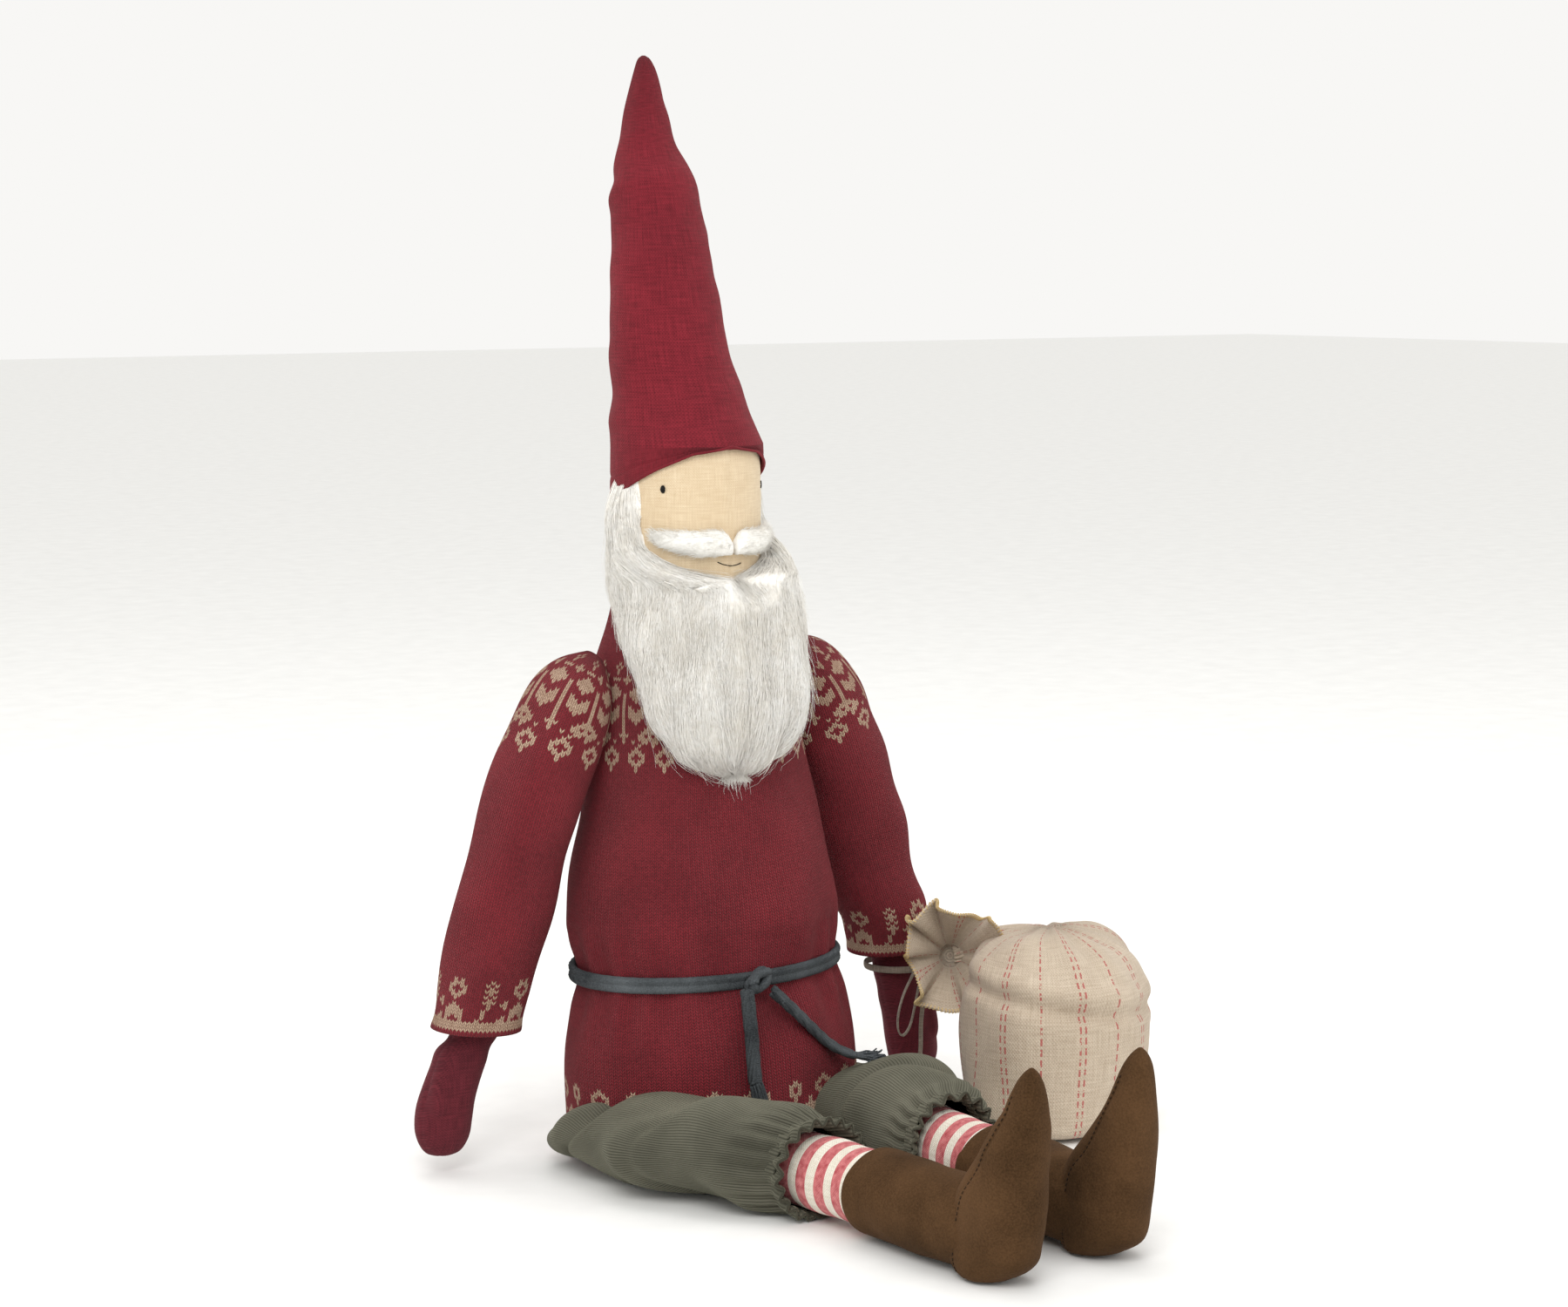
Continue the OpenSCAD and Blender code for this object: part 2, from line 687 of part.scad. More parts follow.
module leg_cloth_left() {
    on_left() leg_cloth();
}

module leg_stuffing_left() {
    on_left() leg_stuffing();
}

module trouser_leg_left() {
    on_left() trouser_leg();
}

module knee_elastic_left() {
    on_left() knee_elastic();
}

module boot_shaft_left() {
    on_left() boot_shaft();
}

module boot_foot_left() {
    on_left() boot_foot();
}

// ---- sack, tied by its neck to the left wrist ----
sack_x = 192;
sack_y = -105;
sack_rings = [
    [0, sack_x - 2, sack_y, sack_w / 2 - 22, sack_w / 2 - 24],
    [8, sack_x - 2, sack_y, sack_w / 2 - 7, sack_w / 2 - 11],
    [sack_h * 0.33, sack_x, sack_y, sack_w / 2 - 1, sack_w / 2 - 7],
    [sack_h * 0.62, sack_x + 3, sack_y + 3, sack_w / 2, sack_w / 2 - 6],
    [sack_h * 0.83, sack_x + 6, sack_y + 7, sack_w / 2 - 4, sack_w / 2 - 12],
    [sack_h * 0.96, sack_x + 8, sack_y + 12, sack_w / 2 - 20, sack_w / 2 - 28],
    [sack_h, sack_x + 8, sack_y + 14, sack_w / 2 - 46, sack_w / 2 - 50]
];
tie = [170, -28, 96];

module sack_cloth() {
    color(linen) difference() {
        loft(sack_rings);
        loft(concat([[1, sack_x - 2, sack_y, sack_w / 2 - 23, sack_w / 2 - 25]],
            inset([for (i = [1:5]) sack_rings[i]], 1)));
    }
}

module sack_filling() {
    color(fibre) loft(concat([[1.3, sack_x - 2, sack_y, sack_w / 2 - 24, sack_w / 2 - 26]],
        inset([for (i = [1:4]) sack_rings[i]], 1.4)));
}

// Folded top of the sack, drawn in to the tie
sack_neck_route = [[206, -82, 92, 10, 58, 40], [204, -64, 99, 20, 50, 36], [196, -48, 102, 35, 34, 26],
    [184, -36, 100, 45, 20, 18], [tie[0] + 5, tie[1] - 3, tie[2] + 0.5, 45, 14, 14],
    [tie[0] + 1, tie[1] - 1, tie[2], 45, 13, 13]];
module sack_neck() {
    color(linen) difference() {
        strap(sack_neck_route, 12);
        loft(inset(sack_rings, -gap / 2));
        ruffle_cone(1);
        tie_band(0.5);
    }
}

toward_mouth = unit([-0.58, -0.8, 0.2]);
function mouth_at(d, w, t) = [tie[0] + toward_mouth[0] * d, tie[1] + toward_mouth[1] * d,
    tie[2] + toward_mouth[2] * d, -36, w, t];
module ruffle_cone(more) {
    strap([mouth_at(5 - more / 2, 12 + more, 12 + more), mouth_at(12, 26 + more, 28 + more),
        mouth_at(24, ruffle_r * 1.6 + more, ruffle_r * 1.7 + more),
        mouth_at(34 + more / 2, ruffle_r * 2 + more, ruffle_r * 2.1 + more)], few);
}

module sack_ruffle() {
    color(linen) difference() {
        ruffle_cone(0);
        loft(inset(sack_rings, -gap));
    }
}

module tie_band(more) {
    strap([mouth_at(0.5 - more / 2, 15 + more, 15 + more), mouth_at(4.5, 15 + more, 15 + more)], 12);
}

module ribbon_tie() {
    color(taupe) tie_band(0);
}

wrist = [156, 14 + back_left, 86];
loop_r = mitten_r + 2.5;
module ribbon_wrist_loop() {
    color(taupe) translate([wrist[0], wrist[1], wrist[2] - ribbon_w / 2]) difference() {
        cylinder(r = loop_r + 1, h = ribbon_w);
        translate([0, 0, -1]) cylinder(r = loop_r, h = ribbon_w + 2);
    }
}

module ribbon_link() {
    color(taupe) strap([[157.5, wrist[1] - loop_r - 2.2, 86, 0, 4, 2], [160, -14, 87.5, 0, 4, 2],
        [163, -18.5, 91, 0, 4, 2]]);
}

// Bow loop and free end of the ribbon, hanging in front of the mitten
bow_route = [[154, -13, 86, 0, 4.5, 1.2], [148, -16, 82, 0, 4.5, 1.2], [141, -17, 72, 0, 4.5, 1.2],
    [137, -17, 60, 0, 4.5, 1.2], [137, -17, 50, 0, 4.5, 1.2], [140, -18, 46, 0, 4.5, 1.2],
    [144, -20, 52, 0, 4.5, 1.2], [147, -21, 64, 0, 4.5, 1.2], [151, -20, 77, 0, 4.5, 1.2]];
ribbon_tail_route = [[156, -18, 80, 0, 4.5, 1.2], [153, -22, 68, 0, 4.5, 1.2], [150, -24, 54, 0, 4.5, 1.2],
    [149, -25, 40, 0, 4.5, 1.2], [148, -25, 28, 0, 4.5, 1.2]];

module ribbon_bow_loop() {
    color(taupe) strap(bow_route);
}

module ribbon_tail() {
    color(taupe) strap(ribbon_tail_route);
}

torso_cloth();
torso_stuffing();
sweater_body();
belt_band();
belt_knot();
belt_tail_front();
belt_tassel_front();
belt_tail_side();
belt_fringe_side();
trouser_seat();
head_cloth();
head_stuffing();
eyes();
mouth_stitch();
moustache_right();
moustache_left();
beard();
hat_cloth();
hat_stuffing();
arm_cloth_right();
arm_stuffing_right();
sleeve_right();
mitten_right();
arm_cloth_left();
arm_stuffing_left();
sleeve_left();
mitten_left();
leg_cloth_right();
leg_stuffing_right();
trouser_leg_right();
knee_elastic_right();
boot_shaft_right();
boot_foot_right();
leg_cloth_left();
leg_stuffing_left();
trouser_leg_left();
knee_elastic_left();
boot_shaft_left();
boot_foot_left();
sack_cloth();
sack_filling();
sack_neck();
sack_ruffle();
ribbon_tie();
ribbon_wrist_loop();
ribbon_link();
ribbon_bow_loop();
ribbon_tail();
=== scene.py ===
# %% [markdown]
# # A seated tomte, a stuffed and knitted folk figure
# The doll is made of cloth shells, knitting, felted wool, plaited cord and suede.
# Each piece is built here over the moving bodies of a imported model, in metres, in the same frame.

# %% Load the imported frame
import bpy
import math
import numpy as np
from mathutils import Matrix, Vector


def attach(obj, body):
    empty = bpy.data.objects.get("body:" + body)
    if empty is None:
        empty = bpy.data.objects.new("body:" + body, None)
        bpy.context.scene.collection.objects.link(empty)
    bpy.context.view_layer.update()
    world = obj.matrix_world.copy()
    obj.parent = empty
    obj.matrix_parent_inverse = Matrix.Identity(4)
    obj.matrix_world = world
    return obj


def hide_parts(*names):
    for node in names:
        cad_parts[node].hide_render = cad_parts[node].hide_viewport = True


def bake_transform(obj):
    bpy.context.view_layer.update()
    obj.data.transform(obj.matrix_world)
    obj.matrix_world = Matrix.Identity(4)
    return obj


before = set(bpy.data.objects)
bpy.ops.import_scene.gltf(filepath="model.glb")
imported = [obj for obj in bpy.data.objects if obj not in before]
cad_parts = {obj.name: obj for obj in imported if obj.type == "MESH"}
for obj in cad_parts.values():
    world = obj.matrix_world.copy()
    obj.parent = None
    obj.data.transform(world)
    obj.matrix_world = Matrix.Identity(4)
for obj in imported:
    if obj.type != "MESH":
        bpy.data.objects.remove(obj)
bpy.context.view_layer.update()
MM = 0.001


# %% [markdown]
# ## Camera, light and floor
# The camera stands at the doll's front right, a little above the lap, two metres away.
# A long lens keeps the boots from growing. Wide soft lights leave only pale shadows, as in a studio.

# %% Camera
def look_from(azimuth, elevation, distance, target, lens):
    a, e = math.radians(azimuth), math.radians(elevation)
    back = Vector((math.sin(a) * math.cos(e), -math.cos(a) * math.cos(e), math.sin(e)))
    data = bpy.data.cameras.new("camera")
    data.lens = lens
    data.sensor_width = 36
    camera = bpy.data.objects.new("camera", data)
    camera.location = Vector(target) + back * distance
    camera.rotation_euler = back.to_track_quat("Z", "Y").to_euler()
    bpy.context.collection.objects.link(camera)
    bpy.context.scene.camera = camera
    return camera


camera = look_from(-36, 7, 2.0, (0.0388, -0.0282, 0.300), 75.47)


# %% Lights and floor
def srgb(code):
    parts = [int(code[i:i + 2], 16) / 255 for i in (1, 3, 5)]
    return [p / 12.92 if p <= 0.04045 else ((p + 0.055) / 1.055) ** 2.4 for p in parts] + [1]


def soft_light(name, place, size, power):
    data = bpy.data.lights.new(name, "AREA")
    data.size = size
    data.energy = power
    light = bpy.data.objects.new(name, data)
    light.location = place
    aim = Vector((0.03, -0.06, 0.28)) - Vector(place)
    light.rotation_euler = aim.to_track_quat("-Z", "Y").to_euler()
    bpy.context.collection.objects.link(light)


soft_light("key", (-1.5, -1.5, 1.9), 1.3, 30)
soft_light("fill", (1.7, -1.6, 1.0), 1.8, 8)
soft_light("top", (0.2, 0.5, 2.2), 1.8, 14)
world = bpy.data.worlds.new("studio")
bpy.context.scene.world = world
world.use_nodes = True
world.node_tree.nodes["Background"].inputs["Color"].default_value = srgb("#f8f7f5")
world.node_tree.nodes["Background"].inputs["Strength"].default_value = 1.0
bpy.context.scene.view_settings.view_transform = "Standard"


def grid_faces(rows, cols, wrap):
    across = cols if wrap else cols - 1
    r, c = np.meshgrid(np.arange(rows - 1), np.arange(across), indexing="ij")
    n = (c + 1) % cols
    return np.stack([r * cols + c, r * cols + n, (r + 1) * cols + n, (r + 1) * cols + c], -1).reshape(-1, 4)


FLOOR_REACH, FLOOR_LEVEL = 14, -0.0012
FLOOR = np.array([[[x, y, FLOOR_LEVEL] for x in (-FLOOR_REACH, FLOOR_REACH)]
                  for y in (-FLOOR_REACH, FLOOR_REACH)], float)
floor_mesh = bpy.data.meshes.new("floor")
floor_mesh.from_pydata(FLOOR.reshape(-1, 3).tolist(), [], grid_faces(2, 2, False).tolist())
floor = bpy.data.objects.new("floor", floor_mesh)
bpy.context.collection.objects.link(floor)


# %% [markdown]
# ## Helpers for cloth
# Soft shells are easiest to steer as grids of points: rings up a body, or sections along a path.
# A smooth line goes through a few given rings, then each grid point may be pushed along its normal.

# %% Circles, unit directions and lengths
def circle(count):
    """Evenly spaced angles round a full turn."""
    return np.linspace(0, 2 * math.pi, count, endpoint=False)


def unit(v):
    return v / np.linalg.norm(v, axis=1, keepdims=True)


def length_of(points):
    """Length of the line through points."""
    return float(np.sum(np.linalg.norm(np.diff(points, axis=0), axis=1)))


# %% Smooth lines through a few rows
def smooth(rows, count, by=3):
    """count rows on a smooth line through these, evenly spaced over the length of the first columns."""
    p = np.array(rows, float)
    ext = np.vstack([2 * p[0] - p[1], p, 2 * p[-1] - p[-2]])
    t = np.linspace(0, len(p) - 1, 30 * len(p))
    i = np.minimum(t.astype(int), len(p) - 2)
    u = (t - i)[:, None]
    a, b, c, d = ext[i], ext[i + 1], ext[i + 2], ext[i + 3]
    q = 0.5 * (2 * b + (c - a) * u + (2 * a - 5 * b + 4 * c - d) * u ** 2 + (3 * b - a - 3 * c + d) * u ** 3)
    way = np.r_[0, np.cumsum(np.linalg.norm(np.diff(q[:, :by], axis=0), axis=1))]
    at = np.linspace(0, way[-1], count)
    return np.stack([np.interp(at, way, q[:, k]) for k in range(q.shape[1])], -1)


def rings_up(rows, count, around):
    """Points of oval rings: each row is height, centre x, centre y, half width, half depth, in mm."""
    r = smooth(rows, count, 5)
    a = math.pi / 2 + circle(around)
    x = r[:, 1:2] + r[:, 3:4] * np.cos(a)
    y = r[:, 2:3] + r[:, 4:5] * np.sin(a)
    return np.stack([x, y, np.repeat(r[:, 0:1], around, 1)], -1) * MM


def rings_forward(rows, count, around):
    """The same along -Y: each row is distance forward, centre x, centre z, half width, half height."""
    r = smooth(rows, count, 5)
    a = -math.pi / 2 + circle(around)
    x = r[:, 1:2] + r[:, 3:4] * np.cos(a)
    z = r[:, 2:3] + r[:, 4:5] * np.sin(a)
    return np.stack([x, -np.repeat(r[:, 0:1], around, 1), z], -1) * MM


# %% Normals, waves and sections along a path
def normals(p, wrap=True):
    du = np.roll(p, -1, 1) - np.roll(p, 1, 1) if wrap else np.gradient(p, axis=1)
    n = np.cross(du, np.gradient(p, axis=0))
    return n / np.maximum(np.linalg.norm(n, axis=-1, keepdims=True), 1e-12)


def pushed(p, lift):
    """Points of a closed grid moved outward along their normals by lift, in mm."""
    return p + normals(p) * (lift * MM)[..., None]


def waves(p, size, seed, count=7):
    """A smooth uneven field from -1 to 1 over points, its bumps about size metres wide."""
    rng = np.random.default_rng(seed)
    total = np.zeros(p.shape[:-1])
    for _ in range(count):
        way = rng.normal(size=3)
        way *= rng.uniform(0.6, 1.4) * 2 * math.pi / size / np.linalg.norm(way)
        total += np.sin(p @ way + rng.uniform(0, 6.28))
    return total / count ** 0.5 / 1.4


def frame_along(route, count):
    """Middle points, width direction, thickness direction, and half sizes along a route, in metres."""
    r = smooth(route, count)
    mid = r[:, :3] * MM
    way = np.gradient(mid, axis=0)
    way = unit(way)
    b = np.radians(r[:, 3])
    side = np.stack([np.cos(b), np.sin(b), 0 * b], -1)
    side -= way * np.sum(side * way, 1, keepdims=True)
    side = unit(side)
    return mid, side, np.cross(way, side), r[:, 4] * MM / 2, r[:, 5] * MM / 2


def along(route, count, around, power=2.0):
    """Sections along a path; a route row is x, y, z, width bearing, width, thickness, in mm."""
    mid, side, out, w, t = frame_along(route, count)
    a = circle(around)
    ca, sa = np.cos(a), np.sin(a)
    ca = np.sign(ca) * np.abs(ca) ** (2 / power)
    sa = np.sign(sa) * np.abs(sa) ** (2 / power)
    return (mid[:, None] + side[:, None] * ca[None, :, None] * w[:, None, None]
            + out[:, None] * sa[None, :, None] * t[:, None, None])


# %% Turn grids of points into pieces
def piece(name, points, faces, uvs=None, yarn=None):
    """A mesh object; uvs has one pair for each corner, yarn one number for each face."""
    mesh = bpy.data.meshes.new(name)
    mesh.from_pydata(np.reshape(points, (-1, 3)).tolist(), [], faces)
    if uvs is not None:
        layer = mesh.uv_layers.new(name="cloth")
        layer.data.foreach_set("uv", np.asarray(uvs, np.float32).ravel())
    if yarn is not None:
        sizes = np.array([len(p.vertices) for p in mesh.polygons])
        attribute = mesh.attributes.new("yarn", "FLOAT", "CORNER")
        attribute.data.foreach_set("value", np.repeat(yarn, sizes).astype(np.float32))
    mesh.shade_smooth()
    obj = bpy.data.objects.new(name, mesh)
    bpy.context.collection.objects.link(obj)
    return obj


def grid_piece(name, p, wrap=True, caps=(False, False), scale=(1, 1), yarn=None, wall=0.0):
    """A grid as a piece. Its UVs count scale units a column and a row; wall gives the cloth a thickness."""
    rows, cols = p.shape[:2]
    faces = grid_faces(rows, cols, wrap)
    across = cols if wrap else cols - 1
    r, c = np.meshgrid(np.arange(rows - 1), np.arange(across), indexing="ij")
    uv = np.stack([np.stack([(c + i) * scale[0], (r + j) * scale[1]], -1)
                   for i, j in ((0, 0), (1, 0), (1, 1), (0, 1))], -2).reshape(-1, 2)
    faces, points, uv = faces.tolist(), p.reshape(-1, 3), uv.tolist()
    for cap, row in zip(caps, (0, rows - 1)):
        if cap:
            hub = len(points)
            points = np.vstack([points, p[row].mean(0)])
            ring = [row * cols + k for k in range(cols)]
            for k in range(cols):
                a, b = ring[k], ring[(k + 1) % cols]
                faces.append([b, a, hub] if row == 0 else [a, b, hub])
                uv += [[(k + 1) * scale[0], row * scale[1]], [k * scale[0], row * scale[1]],
                       [k * scale[0], (row - 3 if row == 0 else row + 3) * scale[1]]]
    if yarn is not None:
        yarn = np.r_[yarn, np.zeros(len(faces) - len(yarn))]
    obj = piece(name, points, faces, uv, yarn)
    if wall:
        solid = obj.modifiers.new("wall", "SOLIDIFY")
        solid.thickness = wall
        solid.offset = -1
    return obj


def joined(name, objs):
    """Several meshes made into one piece."""
    bpy.ops.object.select_all(action="DESELECT")
    for o in objs:
        o.select_set(True)
    bpy.context.view_layer.objects.active = objs[0]
    bpy.ops.object.join()
    objs[0].name = name
    objs[0].data.name = name
    return objs[0]


def applied(obj):
    """The same piece with its modifiers made into plain mesh."""
    mesh = bpy.data.meshes.new_from_object(obj.evaluated_get(bpy.context.evaluated_depsgraph_get()))
    obj.modifiers.clear()
    obj.data = mesh
    return obj


# %% [markdown]
# ## Finishes
# Every finish starts from fibre and how it was made: knitted wool, woven linen, needlecord, felt, suede.
# Cloth has no gloss of its own, so roughness is high and a sheen stands for its loose fibres.

# %% One small function adds a node
def add(tree, kind, inputs=None, **settings):
    made = tree.nodes.new(kind)
    for key, value in settings.items():
        setattr(made, key, value)
    for key, value in (inputs or {}).items():
        if isinstance(value, bpy.types.NodeSocket):
            tree.links.new(value, made.inputs[key])
        else:
            made.inputs[key].default_value = value
    return made


def ramp(tree, fac, stops):
    made = add(tree, "ShaderNodeValToRGB", {"Fac": fac})
    ends = made.color_ramp.elements
    while len(ends) < len(stops):
        ends.new(0.5)
    for end, (at, code) in zip(ends, stops):
        end.position = at
        end.color = srgb(code)
    return made.outputs["Color"]


def finish(name, roughness, sheen=0.3, sheen_tint="#ffffff", specular=0.25):
    """A new material with its surface shader; returns the material, its tree and the shader."""
    material = bpy.data.materials.new(name)
    material.use_nodes = True
    tree = material.node_tree
    shader = tree.nodes["Principled BSDF"]
    shader.inputs["Roughness"].default_value = roughness
    shader.inputs["Sheen Weight"].default_value = sheen
    shader.inputs["Sheen Roughness"].default_value = 0.55
    shader.inputs["Sheen Tint"].default_value = srgb(sheen_tint)
    shader.inputs["Specular IOR Level"].default_value = specular
    return material, tree, shader


def maths(tree, operation, a, b=0.0, c=0.0):
    return add(tree, "ShaderNodeMath", {0: a, 1: b, 2: c}, operation=operation).outputs[0]


def cells_bump(tree, shader, height, depth, strength=1.0):
    bump = add(tree, "ShaderNodeBump", {"Height": height, "Distance": depth, "Strength": strength})
    tree.links.new(bump.outputs["Normal"], shader.inputs["Normal"])


def cloth_uv(tree):
    return add(tree, "ShaderNodeUVMap", uv_map="cloth").outputs["UV"]


def patches(tree, scale, detail=3.0):
    """Uneven patches over the object, scale to the metre."""
    place = add(tree, "ShaderNodeTexCoord").outputs["Object"]
    return add(tree, "ShaderNodeTexNoise", {"Vector": place, "Scale": scale, "Detail": detail}).outputs["Fac"]


# %% Knitted wool: a UV square is one leg of a stitch, so bumps are rounded squares and colour is per leg
def knitted(name, ground, light, pattern):
    material, tree, shader = finish(name, 0.92, 0.22, "#e8a0a0", 0.15)
    uv = add(tree, "ShaderNodeSeparateXYZ", {"Vector": cloth_uv(tree)})
    across = maths(tree, "SINE", maths(tree, "MULTIPLY", uv.outputs["X"], math.pi))
    along_leg = maths(tree, "SINE", maths(tree, "MULTIPLY", uv.outputs["Y"], math.pi))
    round_leg = maths(tree, "MULTIPLY", maths(tree, "ABSOLUTE", across), maths(tree, "ABSOLUTE", along_leg))
    loft_of_leg = maths(tree, "POWER", round_leg, 0.45)
    mottled = maths(tree, "ADD", maths(tree, "MULTIPLY", patches(tree, 28), 0.5),
                    maths(tree, "MULTIPLY", patches(tree, 420, 5), 0.5))
    wool = ramp(tree, mottled, [(0.34, ground), (0.62, light)])
    # Each leg's colour is mixed towards #2c070c where the leg sinks: painted shade in the grooves between
    # stitches.
    wool_with_painted_shade = add(tree, "ShaderNodeMix", {0: maths(tree, "MULTIPLY_ADD", loft_of_leg, 0.5, 0.5),
                                        6: srgb("#2c070c"), 7: wool}, data_type="RGBA")
    yarn = add(tree, "ShaderNodeAttribute", attribute_name="yarn").outputs["Fac"]
    cream = ramp(tree, mottled, [(0.32, "#a98a70"), (0.62, pattern)])
    # The cream yarn is mixed the same way towards #5e2722: painted shade in its grooves.
    cream_with_painted_shade = add(tree, "ShaderNodeMix", {0: maths(tree, "MULTIPLY_ADD", loft_of_leg, 0.6, 0.4),
                                              6: srgb("#5e2722"), 7: cream}, data_type="RGBA")
    colour = add(tree, "ShaderNodeMix", {0: yarn, 6: wool_with_painted_shade.outputs[2], 7: cream_with_painted_shade.outputs[2]},
                 data_type="RGBA")
    tree.links.new(colour.outputs[2], shader.inputs["Base Color"])
    cells_bump(tree, shader, loft_of_leg, 0.0014)
    return material


WINE_KNIT = knitted("hand_knitted_wool", "#6e1320", "#8d2430", "#d8bda2")


# %% Woven, ribbed and brushed cloth
def woven(name, dark, light, per_metre, depth=0.00025, sheen=0.15, slub=0.5, tint="#ffffff"):
    """Plain weave on UVs in metres: crossing threads, with thick slubs along both, as linen has."""
    material, tree, shader = finish(name, 0.88, sheen, tint, 0.2)
    uv = cloth_uv(tree)
    cut = add(tree, "ShaderNodeSeparateXYZ", {"Vector": uv})
    turn = math.pi * per_metre
    warp = maths(tree, "SINE", maths(tree, "MULTIPLY", cut.outputs["X"], turn))
    weft = maths(tree, "SINE", maths(tree, "MULTIPLY", cut.outputs["Y"], turn))
    weave = maths(tree, "MULTIPLY", warp, weft)
    long_way = add(tree, "ShaderNodeMapping", {"Vector": uv, "Scale": (per_metre, per_metre * 0.06, 1)})
    short_way = add(tree, "ShaderNodeMapping", {"Vector": uv, "Scale": (per_metre * 0.06, per_metre, 1)})
    slubs = maths(tree, "ADD",
                  add(tree, "ShaderNodeTexNoise", {"Vector": long_way.outputs[0], "Scale": 1.0}).outputs[0],
                  add(tree, "ShaderNodeTexNoise", {"Vector": short_way.outputs[0], "Scale": 1.0}).outputs[0])
    height = maths(tree, "ADD", maths(tree, "MULTIPLY", weave, 0.5), maths(tree, "MULTIPLY", slubs, slub))
    # The tone also follows the weave's height, a little darker in the hollows between crossing threads:
    # painted shade.
    tone = maths(tree, "ADD", maths(tree, "MULTIPLY", slubs, 0.36),
                 maths(tree, "ADD", maths(tree, "MULTIPLY", patches(tree, 22), 0.24),
                       maths(tree, "MULTIPLY", weave, 0.07)))
    tree.links.new(ramp(tree, tone, [(0.36, dark), (0.64, light)]), shader.inputs["Base Color"])
    cells_bump(tree, shader, height, depth)
    return material, tree, shader


HAT_LINEN = woven("washed_wine_linen", "#5e141e", "#84222e", 900, 0.0003, 0.1, 0.6, "#d09090")[0]
FACE_COTTON = woven("unbleached_cotton", "#c9b291", "#dfcdaf", 1300, 0.00012)[0]
MITTEN_COTTON = woven("brushed_wine_cotton", "#43121a", "#66232c", 1300, 0.0002, 0.15, 0.6, "#c08088")[0]
RIBBON_TWILL = woven("taupe_cotton_ribbon", "#6c6154", "#a4978a", 1500, 0.0002, 0.1, 0.3)[0]


def banded(name, pairs, per_metre, stripe):
    """Plain weave whose ground is striped; stripe is given the tree, the UVs and the ground colour."""
    material, tree, shader = woven(name, *pairs, per_metre, 0.0003)
    ground = shader.inputs["Base Color"].links[0].from_socket
    colour = stripe(tree, add(tree, "ShaderNodeSeparateXYZ", {"Vector": cloth_uv(tree)}), ground)
    tree.links.new(colour, shader.inputs["Base Color"])
    return material


def stocking_stripe(tree, uv, ground):
    pitch, red_share = 0.0145, 0.54
    at = maths(tree, "FRACT", maths(tree, "DIVIDE", uv.outputs["Y"], pitch))
    red = maths(tree, "LESS_THAN", at, red_share)
    dyed = ramp(tree, patches(tree, 300, 4), [(0.3, "#a84248"), (0.7, "#d07c7c")])
    return add(tree, "ShaderNodeMix", {0: red, 6: ground, 7: dyed}, data_type="RGBA").outputs[2]


def sack_stripe(tree, uv, ground):
    """Broken red lines down the sack: a pair, then a single one, 24 mm apart."""
    pitch = 0.048
    at = maths(tree, "FRACT", maths(tree, "DIVIDE", uv.outputs["X"], pitch))
    lines = 0.0
    for middle in (0.20, 0.27, 0.72):
        near = maths(tree, "LESS_THAN", maths(tree, "ABSOLUTE", maths(tree, "SUBTRACT", at, middle)), 0.013)
        lines = maths(tree, "MAXIMUM", near, lines)
    dash = maths(tree, "FRACT", maths(tree, "DIVIDE", uv.outputs["Y"], 0.0052))
    worn = maths(tree, "GREATER_THAN", patches(tree, 500, 2), 0.4)
    shown = maths(tree, "MULTIPLY", maths(tree, "MULTIPLY", lines, maths(tree, "LESS_THAN", dash, 0.66)),
                  worn)
    return add(tree, "ShaderNodeMix", {0: maths(tree, "MULTIPLY", shown, 0.8), 6: ground,
                                       7: srgb("#a33c3e")}, data_type="RGBA").outputs[2]


STOCKING = banded("striped_stocking_cotton", ("#d3cab8", "#f0ebdf"), 1200, stocking_stripe)
SACK_LINEN = banded("coarse_sack_linen", ("#ab9a86", "#c9baa6"), 1100, sack_stripe)


def needlecord(name, dark, light, rib):
    """Cut-pile ribs on UVs in metres, drawn about twice their real width so that they show."""
    material, tree, shader = finish(name, 0.9, 0.3, "#c8c8ae", 0.15)
    uv = add(tree, "ShaderNodeSeparateXYZ", {"Vector": cloth_uv(tree)})
    ribs = maths(tree, "ABSOLUTE",
                 maths(tree, "SINE", maths(tree, "MULTIPLY", uv.outputs["X"], math.pi / rib)))
    pile = maths(tree, "ADD", maths(tree, "POWER", ribs, 0.6),
                 maths(tree, "MULTIPLY", patches(tree, 700, 4), 0.3))
    # The tone is lighter on the rib tops and darker between the ribs: painted shade, over cloudy patches of
    # colour.
    tone = maths(tree, "ADD", maths(tree, "MULTIPLY", patches(tree, 18, 5), 0.7),
                 maths(tree, "MULTIPLY", ribs, 0.26))
    tree.links.new(ramp(tree, tone, [(0.34, dark), (0.72, light)]), shader.inputs["Base Color"])
    cells_bump(tree, shader, pile, 0.0005)
    return material


OLIVE_CORD = needlecord("olive_needlecord", "#38372e", "#686659", 0.0022)


def napped(name, dark, light, roughness=0.95, sheen=0.35, grain=900, depth=0.0003):
    """Felt, suede or loose fibre: cloudy colour with a fine nap."""
    material, tree, shader = finish(name, roughness, sheen, light, 0.15)
    tone = maths(tree, "ADD", maths(tree, "MULTIPLY", patches(tree, 26, 5), 0.6),
                 maths(tree, "MULTIPLY", patches(tree, grain, 4), 0.4))
    tree.links.new(ramp(tree, tone, [(0.34, dark), (0.66, light)]), shader.inputs["Base Color"])
    cells_bump(tree, shader, patches(tree, grain, 6), depth)
    return material


